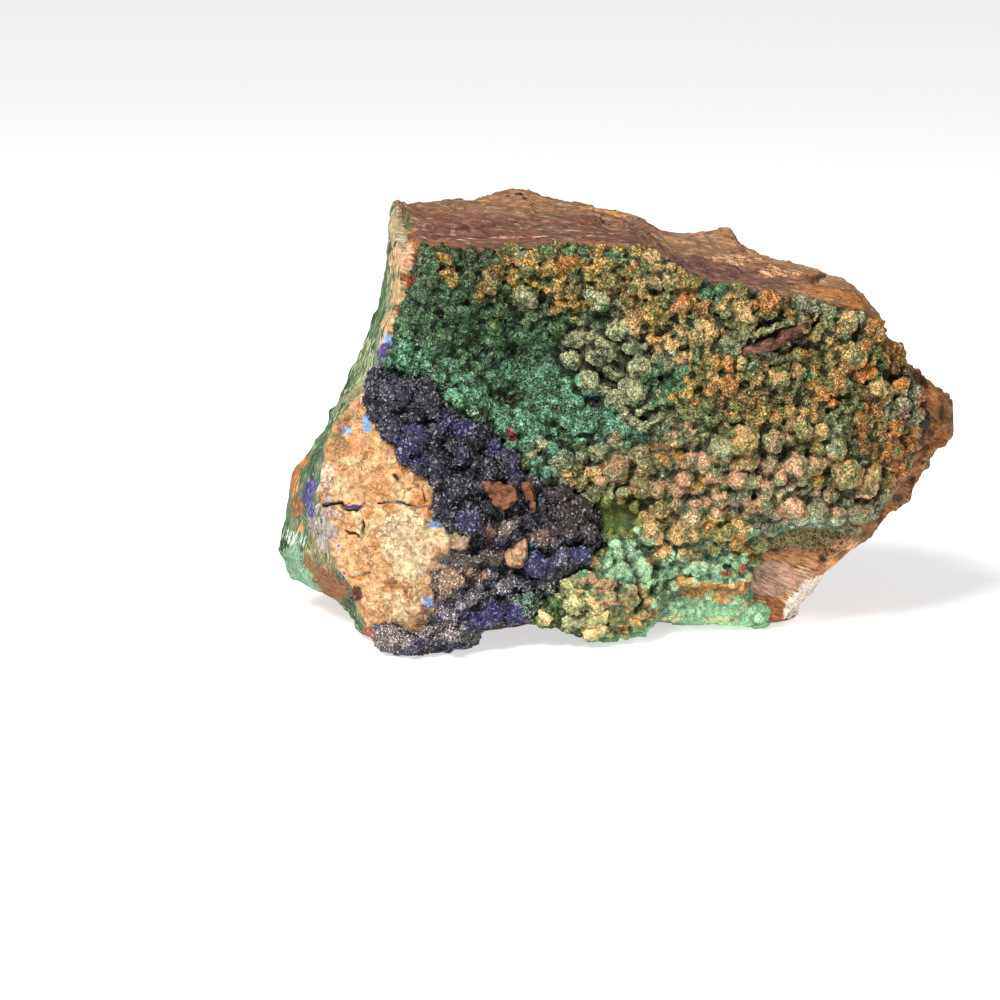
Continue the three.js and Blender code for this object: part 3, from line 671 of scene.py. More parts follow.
def slab_over(name, keep, thickness):
    """A closed slab over the rock, of this thickness, on a grid of the places to keep."""
    a = np.arange(grid_across[0], grid_across[-1], BED_GRID)
    u = np.arange(grid_up[0], grid_up[-1], BED_GRID)
    across, up = (part.ravel() for part in np.meshgrid(a, u, indexing="ij"))
    wanted = keep(across, up).reshape(len(a), len(u))
    cells = wanted[:-1, :-1] & wanted[1:, :-1] & wanted[:-1, 1:] & wanted[1:, 1:]
    rock = np.stack([across, up, read_grid(smooth_depth, across, up)], axis=-1)
    out = outwards(across, up)
    front = rock + out * thickness(across, up)[:, None]
    back = rock - out * SUNK
    number = np.arange(len(a) * len(u)).reshape(len(a), len(u))
    sheet = []
    for i, j in np.argwhere(cells):
        sheet.append((number[i, j], number[i + 1, j], number[i + 1, j + 1], number[i, j + 1]))
    body = bmesh.new()
    rows = [body.verts.new(p) for p in to_model(np.vstack([front, back]))]
    count = len(front)
    sides = {}
    for face in sheet:
        body.faces.new([rows[k] for k in face])
        body.faces.new([rows[count + k] for k in reversed(face)])
        for k in range(4):
            edge = (face[k], face[(k + 1) % 4])
            if sides.pop((edge[1], edge[0]), None) is None:
                sides[edge] = edge
    for start, end in sides:
        body.faces.new([rows[end], rows[start], rows[count + start], rows[count + end]])
    bmesh.ops.delete(body, geom=[v for v in body.verts if not v.link_faces], context="VERTS")
    bmesh.ops.recalc_face_normals(body, faces=body.faces)
    return object_from(name, body)


def flatness(across, up):
    """1 in the middle of the stretches that have no balls, 0 away from them."""
    flat = [blot(across, up, (a, u), (w, h)) for a, u, w, h in FLATS]
    return ease(0.05, 0.4, np.max(flat, axis=0))


def velvetness(across, up):
    """1 where the malachite is fine velvet rather than balls."""
    soft = [blot(across, up, (-17, 40), (22, 11), -14), blot(across, up, (0, 33.5), (9, 4), -6)]
    return ease(0.1, 0.5, np.max(soft, axis=0))


def as_points(across, up):
    return np.stack([across, up, np.zeros_like(across)], axis=-1)


def malachite_thickness(across, up):
    places = as_points(across, up)
    swell = 2.5 + 0.5 * clouds(places, 6.0, 3) + 0.3 * clouds(places, 2.6, 4)
    swell += velvetness(across, up) * (1.3 * clouds(places, 4.2, 9) - 0.1)
    swell *= 1 - 0.6 * flatness(across, up)
    swell -= 1.6 * pits(across, up, HOLES)
    feather = ease(-0.8, 1.8, within(MALACHITE_ZONE, across, up))
    return np.maximum(swell, 0.25) * feather - 0.3 * (1 - feather)


def room_for_balls(across, up):
    """How likely a small ball is to sit at a place."""
    inner = ease(0.4, 1.6, within(MALACHITE_ZONE, across, up))
    inner *= (1 - 0.9 * flatness(across, up)) * (1 - 0.6 * velvetness(across, up))
    return inner * (pits(across, up, HOLES) < 0.15)


def small_radius(across, up):
    """Small balls are broad and sunk in the velvet, and fine on the flats."""
    return np.maximum(1.4 + 0.6 * velvetness(across, up) - 0.9 * flatness(across, up), 0.45)


# %% [markdown]
# ## Where the small balls sit
# Between the larger balls there is room for about 750 small ones. They are tried at random
# places with a fixed seed, and a try is kept where it does not sink too far into the balls already
# there, as real ones do that grow until they meet. Each takes the colour of a ball or stain near it.

# %% Scatter the small balls
TRIED_FROM, TRIED_TO = (-43, -6), (52, 66)


def packed(room, radius_at, seed, tries, beside, apart):
    """Places and radii of round lumps that lie no nearer than `apart` times their added radii."""
    random = np.random.default_rng(seed)
    tried = random.uniform(TRIED_FROM, TRIED_TO, (tries, 2))
    tried = tried[random.uniform(0, 1, tries) < room(tried[:, 0], tried[:, 1])]
    sizes = radius_at(tried[:, 0], tried[:, 1]) * random.uniform(0.65, 1.3, len(tried))
    kept = np.vstack([beside, np.zeros((len(tried), 3))])
    count = len(beside)
    for place, size in zip(tried, sizes):
        gaps = np.hypot(*(kept[:count, :2] - place).T) - apart * (kept[:count, 2] + size)
        if count == 0 or gaps.min() > 0:
            kept[count] = *place, size
            count += 1
    return kept[len(beside):count]


def kin_nearby(places, seed):
    """One of the three nearest anchors, drawn at random, whose colours a small ball takes."""
    random = np.random.default_rng(seed)
    away = np.linalg.norm(places[:, None, :2] - anchor_at, axis=2) - anchor_reach
    nearest = np.argsort(away, axis=1)[:, :3]
    drawn = random.choice(3, len(places), p=[0.55, 0.3, 0.15])
    return nearest[np.arange(len(places)), drawn]


def low_right(across, up):
    """1 in the lower right, where the balls are rounder and stand well apart."""
    return ease(36, 30, up) * ease(-6, -2, across) * ease(8, 12, up)


larger = np.column_stack([anchor_at, anchor_reach])[is_ball]
larger[:, 2] *= 1 + 0.14 * low_right(*larger[:, :2].T)
smaller = packed(room_for_balls, small_radius, seed=11, tries=26000, beside=larger, apart=0.5)
balls = np.vstack([larger, smaller])
kin = np.concatenate([np.flatnonzero(is_ball), kin_nearby(smaller, 12)])
shade = np.random.default_rng(13).uniform(0.75, 1.25, (len(balls), 1))
cap_colour, body_colour = anchor_cap[kin] * shade, anchor_body[kin] * shade
cap_strength = np.random.default_rng(14).uniform(0.35, 1.0, len(balls))
print("small balls:", len(smaller))


def lifted(lumps, thickness, lift):
    """Middles of lumps that stand on a bed, in face coordinates."""
    across, up, radius = lumps.T
    slope = np.minimum(1 / -outwards(across, up)[:, 2], 1.6)
    depth = read_grid(smooth_depth, across, up) - (thickness(across, up) + lift * radius) * slope
    return np.stack([across, up, depth], axis=-1)


stand = np.array([PROUD.get(a[3], -0.05) for a in anchors if a[4]])
stand = np.concatenate([stand, -0.2 - 0.4 * velvetness(*smaller.T[:2])])
ball_middle = lifted(balls, malachite_thickness, stand)

# %% [markdown]
# ## Growing the balls with Geometry Nodes
# The tree takes a bed and an object that is nothing but points, puts a ball on each point as wide
# as its `radius` says, turned and squashed a little, and joins them to the bed. Balls with 80 faces
# are enough, because a voxel remesh melts balls and bed into one skin afterwards.

# %% The growing tree
def growing_tree():
    tree, graph = tree_with("grow_balls", {
        "Places": "NodeSocketObject", "Squash": "NodeSocketFloat", "Seed": "NodeSocketInt",
        "Finish": "NodeSocketMaterial",
    })
    bed = graph.add("NodeGroupInput")
    seed = graph.other(bed, "Seed")
    holder = graph.add("GeometryNodeObjectInfo", None, {"Object": graph.other(bed, "Places")})
    ball = graph.add("GeometryNodeMeshIcoSphere", None, {"Radius": 1.0, "Subdivisions": 2})
    radius = graph.stored("radius")
    squash = graph.chance(1 - graph.other(bed, "Squash"), 1.0, seed)
    shape = graph.add("ShaderNodeCombineXYZ", None, {0: radius, 1: radius, 2: radius * squash})
    grown = graph.add("GeometryNodeInstanceOnPoints", None, {
        "Points": graph.other(holder, "Geometry"), "Instance": ball,
        "Rotation": graph.any_turn(seed), "Scale": shape,
    })
    joined = graph.add("GeometryNodeJoinGeometry", None, {"Geometry": [bed, grown]})
    finish_tree(graph, joined, graph.other(bed, "Finish"))
    return tree


grow_balls = growing_tree()


# %% [markdown]
# ## A skin of crystal tips
# Each ball is a bundle of fine needles whose blunt tips make its surface rough. A second tree pushes
# the skin in and out along its normals: a Voronoi pattern gives rounded tips with sharp valleys
# between them, and a finer noise breaks them up.

# %% The skin tree
def skin_tree():
    tree, graph = tree_with("crystal_skin", {
        "Pitch": "NodeSocketFloat", "Tips": "NodeSocketFloat", "Lumps": "NodeSocketFloat",
        "Swell": "NodeSocketFloat", "Finish": "NodeSocketMaterial",
    })
    skin = graph.add("NodeGroupInput")
    per_pitch = 1.0 / graph.other(skin, "Pitch")
    place = graph.add("GeometryNodeInputPosition")
    warp = graph.add("ShaderNodeTexNoise", None, {"Vector": place, "Scale": per_pitch * 0.8}, out=1)
    bend = graph.vectors("SCALE", warp, scale=0.6 * graph.other(skin, "Pitch"))
    bent = graph.vectors("ADD", place, bend)
    height = graph.other(skin, "Swell") * (graph.noise(place, per_pitch * 0.3, 1.0) - 0.5)
    for name, finer in (("Lumps", 0.55), ("Tips", 1.3)):
        away = graph.add("ShaderNodeTexVoronoi", None, {"Vector": bent, "Scale": per_pitch * finer})
        height = height + graph.other(skin, name) * (0.3 - away * away)
    normal = graph.add("GeometryNodeInputNormal")
    push = graph.vectors("SCALE", normal, scale=height * graph.stored("relief"))
    moved = graph.add("GeometryNodeSetPosition", None, {"Geometry": skin, "Offset": push})
    smooth = graph.add("GeometryNodeSetShadeSmooth", None, {"Geometry": moved, "Shade Smooth": True})
    finish_tree(graph, smooth, graph.other(skin, "Finish"))
    return tree


crystal_skin = skin_tree()


def points_object(name, face_places, radii):
    """An object of loose points, each with a radius, for a tree to grow lumps on."""
    made = object_from_points(name, to_model(face_places))
    write_values(made.data, "radius", radii * MM)
    return made


def melt(piece, voxel):
    """A voxel remesh, which joins all that overlaps into one closed skin."""
    remesh = piece.modifiers.new("melt", "REMESH")
    remesh.mode = "VOXEL"
    remesh.voxel_size = voxel * MM
    remesh.use_smooth_shade = True


# %% Slabs that stand on the rock
def wrap_block(body, low, high):
    """The faces of a block between two rings of points."""
    for k in range(len(low)):
        j = (k + 1) % len(low)
        body.faces.new([low[k], low[j], high[j], high[k]])
    body.faces.new(high)
    body.faces.new(low[::-1])


def standing_slab(body, slab, back, front, taper=0.9):
    """A thin block, given by its middle, size and slope on the face, from one depth to another."""
    angle = math.radians(slab["turn"])
    along = np.array([math.cos(angle), math.sin(angle)])
    over = np.array([-along[1], along[0]])
    rings = []
    for depth, scale in ((back, 1.0), (front, taper)):
        ring = []
        for s, t in ((-1, -1), (1, -1), (1, 1), (-1, 1)):
            half = np.array(slab["size"]) / 2 * scale
            place = np.array(slab["at"]) + s * half[0] * along + t * half[1] * over
            ring.append(body.verts.new(to_model([*place, depth])))
        rings.append(ring)
    wrap_block(body, *rings)


def rock_front(slab):
    """How far out the solid rock reaches at the middle of a slab."""
    start = to_model([*slab["at"], OUTSIDE])
    return OUTSIDE + rock_tree.ray_cast(Vector(start), Vector(AXES[2]))[3] / MM


# %% [markdown]
# ## Painting the malachite point by point
# The colour of a druse follows its growth: fresh green in the gaps and on the flanks, and dust on
# the caps. Each point of the skin is told which ball it belongs to, from a fine map of the face
# that keeps the nearest ball for each spot, and how far round to the front of that ball it lies.
# Over these colours the gaps are painted darker, as painted shade, and what stands out is painted lighter,
# as painted light.

# %% Which ball owns each spot
FINE = 0.2
MAP_START = np.array([-44.0, -7.0])
MAP_SPAN = (96, 74)
map_shape = tuple(int(length / FINE) for length in MAP_SPAN)


def cell_numbers(values, start, cell, count):
    """Which cell of a row each value falls in, kept within the row."""
    return np.clip(((values - start) / cell).astype(int), 0, count - 1)


def map_owners():
    """For each cell of the map, the number of the ball that it lies nearest to, in radii."""
    nearness = np.full(map_shape, 9.0)
    owner = np.zeros(map_shape, int)
    for k, (a, u, radius) in enumerate(balls):
        corner = np.array([a, u]) - MAP_START
        low = np.maximum(((corner - 2.4 * radius) / FINE).astype(int), 0)
        high = np.minimum(((corner + 2.4 * radius) / FINE).astype(int) + 1, map_shape)
        window = (slice(low[0], high[0]), slice(low[1], high[1]))
        i, j = np.mgrid[window]
        near = np.hypot(MAP_START[0] + i * FINE - a, MAP_START[1] + j * FINE - u) / radius
        closer = near < nearness[window]
        nearness[window] = np.where(closer, near, nearness[window])
        owner[window] = np.where(closer, k, owner[window])
    return owner


owner_map = map_owners()


def owner_at(across, up):
    i = cell_numbers(across, MAP_START[0], FINE, map_shape[0])
    j = cell_numbers(up, MAP_START[1], FINE, map_shape[1])
    return owner_map[i, j]


# %% The green between and under the dust
GREENS = ("fern", "velvet", "pine", "green", "sage", "mint", "olive", "moss")
green_anchors = []
for name in GREENS:
    for a, u, reach in BALLS.get(name, []) + STAINS.get(name, []):
        green_anchors.append((a, u, reach, *CAPS_AND_BODIES[name][1]))
green_anchors = np.array(green_anchors)
FLANK_SPREAD = 3.0
# The stretch of the face that the crusts lie in, with room to spare: [across, up].
FACE_START = np.array([-44.0, -8.0])
FACE_SPAN = (96, 76)


def flank_green(across, up):
    """The fresh green at a place, averaged from the green anchors round it."""
    away = np.hypot(across[:, None] - green_anchors[:, 0], up[:, None] - green_anchors[:, 1])
    weight = green_anchors[:, 2] * np.exp(-((away / FLANK_SPREAD) ** 2)) + 1e-4 / (1 + away ** 2)
    weight /= weight.sum(axis=1)[:, None]
    return weight @ green_anchors[:, 3:]


def face_grid(cell, counts):
    """The places of a grid over the face, as arrays of across and of up."""
    return np.meshgrid(*(np.arange(counts[n]) * cell + FACE_START[n] for n in (0, 1)), indexing="ij")


# The green changes slowly, so it is worked out once a millimetre and read in between.
coarse_a, coarse_u = face_grid(1, [length + 1 for length in FACE_SPAN])
flank_grid = flank_green(coarse_a.ravel(), coarse_u.ravel()).reshape(*coarse_a.shape, 3)


def read_flank(across, up):
    return between_cells(flank_grid, across - FACE_START[0], up - FACE_START[1])


def blend(first, second, amount):
    return first * (1 - amount[:, None]) + second * amount[:, None]


# %% How far each point stands out
RELIEF_CELL = 0.25


def rise_above(face, spread):
    """How far points stand out of the surface round them, smoothed over a spread in millimetres."""
    shape = tuple(int(length / RELIEF_CELL) for length in FACE_SPAN)
    i, j = (cell_numbers(face[:, n], FACE_START[n], RELIEF_CELL, shape[n]) for n in (0, 1))
    front = np.full(shape, np.inf)
    np.minimum.at(front, (i, j), face[:, 2])
    front = np.where(np.isinf(front), read_grid(smooth_depth, *face_grid(RELIEF_CELL, shape)), front)
    around = soften(front, int(4 * (spread / RELIEF_CELL) ** 2))
    return around[i, j] - face[:, 2]


def mottled(colour, face, size, seed, strength):
    """Breaks a colour up: patches of light and dark, and a smaller drift of each channel."""
    light = np.exp(strength * rough_clouds(face, size, seed, 3))
    drift = [1 + 0.25 * strength * clouds(face, size * 0.8, seed + 10 + n) for n in range(3)]
    return colour * light[:, None] * np.stack(drift, axis=-1)


def lay_stains(face, stains, seed):
    """The colour of the strongest stain at each point, and the share of the ground it covers."""
    ragged = 0.45 * rough_clouds(face, 1.8, seed, 3)
    colour, cover = np.zeros((len(face), 3)), np.zeros(len(face))
    for stain, strength, places in stains:
        for a, u, width, height in places:
            here = blot(face[:, 0], face[:, 1], (a, u), (1.4 * width, 1.4 * height))
            amount = strength * ease(0.0, 0.8, here + ragged * (here > 0))
            wins = amount > cover
            colour[wins], cover[wins] = stain, amount[wins]
    return mottled(colour, face, 1.5, seed + 1, 0.35), cover


# Stains on the malachite: colour, share covered, and [across, up, half-width, half-height].
MALACHITE_STAINS = [
    (srgb(186, 172, 116), 0.5, [[9, 1.8, 3, 0.8], [17, 1.6, 3, 0.7], [5.4, 5.4, 1.4, 1.2],
                                [21, 4.6, 1.6, 1]]),
    (srgb(204, 158, 96), 0.75, [[10.5, 8, 2, 1.2], [14, 6.6, 3.2, 1.5], [18, 6, 2.6, 1.7],
                                [20.8, 7.6, 1.2, 2]]),
    (srgb(56, 108, 70), 0.6, [[-1, 61.6, 1.8, 1], [1.8, 60.6, 1, 0.8], [31, 41.8, 0.9, 1.2],
                              [46, 29, 0.7, 1.4],
                              [8.4, 41, 1, 1.6], [14, 33.4, 0.9, 1], [-6.6, 60.6, 1, 0.7]]),
    (srgb(150, 82, 46), 0.7, [[20.8, 9.8, 1.2, 1.2], [18, 9.4, 1.4, 0.6]]),
    (srgb(112, 46, 26), 0.9, [[-17.8, 32.2, 0.9, 1.5]]),
    (srgb(140, 110, 60), 0.5, [[-3.6, 15.4, 1.2, 2.6], [1.6, 21, 2.4, 0.8]]),
    (srgb(146, 100, 60), 0.6, [[50.6, 38, 1.6, 2.6], [49.8, 31, 1.6, 2.6], [46.4, 24.6, 1.8, 1.6]]),
    (srgb(128, 62, 34), 0.6, [[-34, 57.6, 1.2, 1], [-33.4, 61.6, 0.8, 1.4], [47.4, 34, 0.9, 3],
                              [46, 26.4, 1.2, 2]]),
    (srgb(176, 200, 176), 0.45, [[32, 17.8, 8, 0.9], [-33.6, 42.2, 4, 1.2], [-28.4, 38.4, 1.8, 2.4],
                                [-24, 35.4, 3, 1.2]]),
    (srgb(70, 100, 74), 0.6, [[-14.4, 28.4, 2.2, 3], [-12, 25.8, 2, 1.2]]),
]
# Where the crust is paler or deeper as a whole: [across, up, half-width, half-height, change].
MALACHITE_TONES = [
    [-27, 57, 13, 11, -0.38], [39, 45, 10, 10, 0.22], [32, 24, 12, 8, 0.28], [11.5, 15, 12, 6, 0.42],
    [-2, 19.4, 5, 3.4, 0.25],
]
TO_THE_LIGHT = np.array([0.0, 0.45, -0.89])


def paint_malachite(mesh):
    """Writes each point's colour, with painted shade in the gaps and painted light where it stands out, and
    how deep in a gap it lies.
    """
    face = to_face(read_points(mesh))
    across, up = face[:, 0], face[:, 1]
    broad, close = rise_above(face, 1.3), rise_above(face, 0.45)
    k = owner_at(across + 0.35 * clouds(face, 0.9, 26), up + 0.35 * clouds(face, 0.9, 27))
    facing = (face - ball_middle[k]) / balls[k, 2][:, None] @ TO_THE_LIGHT
    facing += 0.35 * rough_clouds(face, 1.0, 21, 3)
    body = ease(-0.6, 0.5, facing) * ease(-1.0, 0.1, broad)
    colour = mottled(read_flank(across, up), face, 2.0, 22, 0.4)
    colour = blend(colour, mottled(body_colour[k], face, 1.3, 23, 0.3), body)
    calm = np.maximum(ease(13, 9, up) * ease(-10, -7, across), flatness(across, up))
    gap = ease(0.0, 1.0, -broad) * (1 - 0.5 * calm - 0.35 * flatness(across, up))
    gap = np.clip(np.maximum(gap, pits(across, up, HOLES) * 1.5), 0, 1)
    velvet = velvetness(across, up)
    # Painted shade and light: the gaps are painted darker, and what stands out of the surface round it
    # lighter.
    light = (1 - (0.56 + 0.1 * velvet) * gap) * (0.62 + 0.55 * ease(-0.3, 0.3, close))
    # The whole crust is also a little brighter towards the bottom.
    light *= 1 + 0.2 * ease(12, 4, up)
    for a, u, width, height, change in MALACHITE_TONES:
        light *= 1 + change * blot(across, up, (a, u), (width, height))
    light *= np.exp(0.5 * velvet * rough_clouds(face, 2.4, 29, 2))
    # Painted shade: the gaps also turn a dark warm olive, and the dust further down takes the same painted
    # light and shade.
    colour = blend(colour, srgb(66, 60, 16), 0.35 * gap) * light[:, None]
    write_colours(mesh, "tint", np.clip(colour, 0, 1))
    cap = mottled(cap_colour[k], face, 1.2, 25, 0.3)
    dust = ease(0.15, 0.9, facing) * cap_strength[k]
    stain, cover = lay_stains(face, MALACHITE_STAINS, 28)
    cap = np.where((cover > dust)[:, None], stain, cap) * light[:, None]
    write_colours(mesh, "dust_tint", np.clip(cap, 0, 1))
    write_values(mesh, "dust", np.maximum(dust, cover))
    write_values(mesh, "gap", gap)
    write_values(mesh, "lit", np.clip(light, 0, 1.2))
    write_values(mesh, "calm", 1.3 * calm - 0.6 * velvet + 0.5 * low_right(across, up))


# %% [markdown]
# ## The malachite's finish
# Up close the malachite glitters: needle tips catch the light beside others that are in shadow, so
# the painted colour is broken up by a grain of light and dark only a few tenths of a millimetre
# across. Here and there a whole tip faces the light and shows as a pale spark.

# %% Helpers for finishes
def start_finish(name):
    material = bpy.data.materials.new(name)
    material.use_nodes = True
    graph = Graph(material.node_tree)
    return material, graph, graph.add("ShaderNodeTexCoord", out="Object")


def dress(material, sockets):
    """Links or sets sockets of the material's own shader."""
    shader = material.node_tree.nodes["Principled BSDF"]
    for name, value in sockets.items():
        if isinstance(value, Wire):
            material.node_tree.links.new(value.socket, shader.inputs[name])
        else:
            shader.inputs[name].default_value = value


def grain(graph, place, pitch, detail=2.0):
    return graph.noise(place, 1 / (pitch * MM), detail, 0.65)


def streaks(graph, place, direction, pitch, times=8):
    """Grain drawn out along a direction, which is given in face coordinates."""
    unit = np.array(direction) @ AXES
    unit = tuple(unit / np.linalg.norm(unit))
    along = graph.vectors("DOT_PRODUCT", place, unit, out=1)
    shift = graph.vectors("SCALE", unit, scale=along * (1 - 1 / times))
    return grain(graph, graph.vectors("SUBTRACT", place, shift), pitch, 3.0)


def stippled(graph, amount, texture):
    """Turns a soft amount into a ragged one: the grain decides which spots are covered."""
    return graph.step(0.36, 0.64, amount * 1.8 - 0.4 + 2.6 * (texture - 0.5))


def luck_of_cell(graph, place, pitch):
    """A random number from 0 to 1 for each Voronoi cell."""
    cell = graph.add("ShaderNodeTexVoronoi", None, {"Vector": place, "Scale": 1 / (pitch * MM)}, out=1)
    return graph.add("ShaderNodeSeparateColor", None, {"Color": cell})


def threads(graph, place, pitch):
    """Thin curling lines: 1 on a line and 0 away from it."""
    return 1 - graph.step(0.0, 0.09, graph.maths("ABSOLUTE", grain(graph, place, pitch, 2.0) - 0.5))


def painted_light_and_shade(graph, colour, light):
    """Painted light and shade: lit tips are painted paler, and shaded ones darker and deeper in colour."""
    high = graph.maths("MINIMUM", graph.maths("MAXIMUM", light, 0.0), 1.5)
    low = graph.maths("MINIMUM", graph.maths("MAXIMUM", 0 - light, 0.0), 1.2)
    times = 1 + 0.5 * high - 0.6 * low
    painted_highlight = graph.vectors("SCALE", (0.125, 0.122, 0.095), scale=high * graph.attribute("lit"))
    deeper = graph.vectors("SCALE", (-0.01, -0.01, -0.016), scale=low)
    lit = graph.vectors("ADD", graph.vectors("MULTIPLY_ADD", colour, times, painted_highlight), deeper)
    return graph.vectors("MAXIMUM", lit, (0.0, 0.0, 0.0))


def shaded(graph, colour, light):
    """A colour made darker or lighter by a number round 1."""
    return graph.mix(1.0, colour, light, blend="MULTIPLY")


def painted(graph, texture):
    """The painted colours: the ground, and over it the dust, whose edges the grain makes ragged."""
    dust = stippled(graph, graph.attribute("dust"), texture)
    return graph.mix(dust, graph.attribute("tint", "Color"), graph.attribute("dust_tint", "Color"))


def bumped(graph, height, strength, distance):
    """Fine relief that is only shaded, this many millimetres deep."""
    values = {"Height": height, "Strength": strength, "Distance": distance * MM}
    return graph.add("ShaderNodeBump", None, values)


# %% Malachite
def malachite_finish():
    material, graph, place = start_finish("malachite")
    gap = graph.attribute("gap")
    specks = grain(graph, place, 0.27, 2.0)
    drift = grain(graph, place, 0.8, 2.0)
    thread = threads(graph, place, 0.85)
    colour = painted(graph, drift * 0.5 + specks * 0.5)
    luck = luck_of_cell(graph, place, 0.34)
    # Pale painted glints on a few needle tips, fewer in the gaps, over a grain of painted light and shade.
    spark = graph.step(0.7, 0.95, luck) * graph.step(0.42, 0.55, specks) * (1 - 0.7 * gap)
    light = 1.3 * graph.step(0.36, 0.64, specks) + 0.5 * graph.step(0.3, 0.7, drift) + 1.0 * thread
    light = (light + 1.2 * spark - 1.45) * (1 - 0.4 * graph.attribute("calm"))
    colour = painted_light_and_shade(graph, colour, light)
    bump = bumped(graph, drift + specks * 0.5 + thread * 0.5, 0.9, 0.3)
    rough = 0.6 - 0.3 * spark
    dress(material, {"Base Color": colour, "Roughness": rough, "Normal": bump, "Specular IOR Level": 0.25})
    return material


malachite = malachite_finish()

# %% Blades of malachite
# Two thin blades stand side by side in the middle of the face, and two more line the brown wall.
BLADES = [
    {"at": (6.3, 37.8), "size": (8.4, 1.0), "turn": 30},
    {"at": (7.6, 35.6), "size": (8.4, 0.9), "turn": 28},
    {"at": (23.4, 49.2), "size": (11, 1.0), "turn": 17},
    {"at": (26.4, 44.7), "size": (9, 0.9), "turn": 17},
]
BLADE_REACH = 2.6


# %% [markdown]
# ## Building the malachite
# The crust is made in four parts, so that each stays light enough to keep its fine skin. Each bed
# dips under its neighbour's where they overlap, and no seam shows. In each, the bed and its balls
# are melted together, and then the skin goes on.

# %% The four parts of the malachite
MALACHITE_VOXEL = 0.22
MALACHITE_SKIN = {"Pitch": 0.66 * MM, "Tips": 0.5 * MM, "Lumps": 0.7 * MM, "Swell": 2.4 * MM}
# How far a part's bed runs on past its edge, and how far it has dipped there.
OVERLAP = 1.8
DIP = 1.8
# How far each part reaches: across from and to, up from and to.
PARTS = {
    "malachite_left": (-60, 0.5, 17.5, 80),
    "malachite_upper_right": (0.5, 60, 35, 80),
    "malachite_lower_right": (0.5, 60, 17.5, 35),
    "malachite_foot": (-60, 60, -20, 17.5),
}


def beyond(part, across, up):
    """How far places lie outside a part, in millimetres, and less than 0 inside it."""
    left, right, low, high = part
    return np.max([left - across, across - right, low - up, up - high], axis=0)


def sunk_in_rock(mesh, margin=0.25):
    """Which points lie under the surface of the rock."""
    across, up, depth = to_face(read_points(mesh)).T
    return depth > read_grid(smooth_depth, across, up) + margin


def lumpy_skin(piece, middles, radii, seed, finish, voxel):
    """Grows lumps on a bed, melts all into one skin, and thins out what the rock hides."""
    places = points_object(piece.name + "_places", middles, radii)
    use_tree(piece, grow_balls, {"Places": places, "Squash": 0.3, "Seed": seed, "Finish": finish})
    melt(piece, voxel)
    mesh = settle(piece)
    bpy.data.objects.remove(places)
    return thin_out(piece, sunk_in_rock(mesh))


def malachite_relief(mesh):
    """The skin is finer on the flats and in the velvet."""
    across, up, _ = to_face(read_points(mesh)).T
    return 1 - 0.6 * flatness(across, up) - 0.25 * velvetness(across, up) - 0.35 * low_right(across, up)


def malachite_part(name, part):
    def in_bed(across, up):
        return (beyond(part, across, up) < OVERLAP) & (within(MALACHITE_ZONE, across, up) > -BED_SPILL)

    def thickness(across, up):
        return malachite_thickness(across, up) - DIP * ease(0, OVERLAP, beyond(part, across, up))

    piece = slab_over(name, in_bed, thickness)
    extra = bmesh.new()
    extra.from_mesh(piece.data)
    for blade in BLADES:
        if beyond(part, *blade["at"]) < 0:
            back = read_grid(smooth_depth, *(np.array([v]) for v in blade["at"]))[0]
            standing_slab(extra, blade, back + 1, back - 1.5 - BLADE_REACH)
    extra.to_mesh(piece.data)
    extra.free()
    mine = beyond(part, balls[:, 0], balls[:, 1]) < 0
    mesh = lumpy_skin(piece, ball_middle[mine], balls[mine, 2], 3, malachite, MALACHITE_VOXEL)
    write_values(mesh, "relief", malachite_relief(mesh))
    use_tree(piece, crystal_skin, {**MALACHITE_SKIN, "Finish": malachite})
    mesh = settle(piece)
    keep_in_box(mesh)
    paint_malachite(mesh)
    print(name, triangles(mesh), "triangles")
    return piece


malachite_pieces = [malachite_part(name, part) for name, part in PARTS.items()]

# %% [markdown]
# ## The azurite druse
# Azurite grew as a dark ridge beside the green. It is made the same way, from a bed with lumps that
# are melted together, but its surface is loose small crystals. A tree scatters them over the skin,
# no closer than their spacing, each a small block turned at random.

# %% The azurite's bed and lumps
# Where its bed dips: [across, up, radius].
AZURITE_HOLLOWS = [
    [-20, 22.4, 4.4], [-15, 22, 2.8], [-16.8, 13, 3.2],
    [-27.5, 26, 2.6], [-29.2, 29.4, 2.4], [-23.4, 20, 1.6], [-12, 20, 1.6], [-21, 18.4, 1.4],
    [-32, 34, 1.6],
    [-12.2, 17.4, 1.2], [-16, 16.8, 1.2], [-11.6, 13, 1], [-8.4, 14.6, 1], [-23, 29, 1.6], [-35, 35.8, 1.2],
]
# The larger domes are listed one by one: [across, up, radius].
AZURITE_DOMES = np.array([
    [-25.1, 18.7, 2.9], [-26.8, 23, 2.3], [-21.6, 26.4, 1.8], [-9.6, 22.4, 2.3], [-8.2, 18.8, 2.4],
    [-5.6, 16.2, 1.8], [-6.4, 20.6, 1.7], [-13, 15.3, 1.5], [-18.8, 17, 1.2], [-17.3, 16, 1],
    [-9.9, 12.4, 1.6],
    [-6.5, 12.8, 1.5], [-14, 11, 2.1], [-33.6, 31.6, 2.4], [-36.8, 38.8, 2.8], [-31.6, 37.6, 2.4],
    [-18.6, 28, 2],
    [-25.6, 32.6, 2.4], [-37.4, 33.4, 2], [-14.4, 24.4, 1.6], [-21.4, 3, 2.2], [-17.4, 4, 2],
    [-24.4, 6, 1.6],
    [-19.6, 7.6, 1.8], [-15.6, 7.4, 1.6], [-37, -0.4, 1.2], [-31.6, -1, 1.4], [-27.6, -0.6, 1.6],
])


# Round places that the crust leaves free for the chips: [across, up, radius].
CHIP_SPOTS = [[-20.4, 22.8, 2.6], [-18, 22, 2.4], [-15, 22, 1.8], [-16.7, 13, 2.3]]


def on_chips(across, up, margin=0.3):
    """Which places are on what stands out of the rock."""
    found = on_slabs(across, up, margin)
    for a, u, radius in CHIP_SPOTS:
        found |= np.hypot(across - a, up - u) < radius + margin
    return found


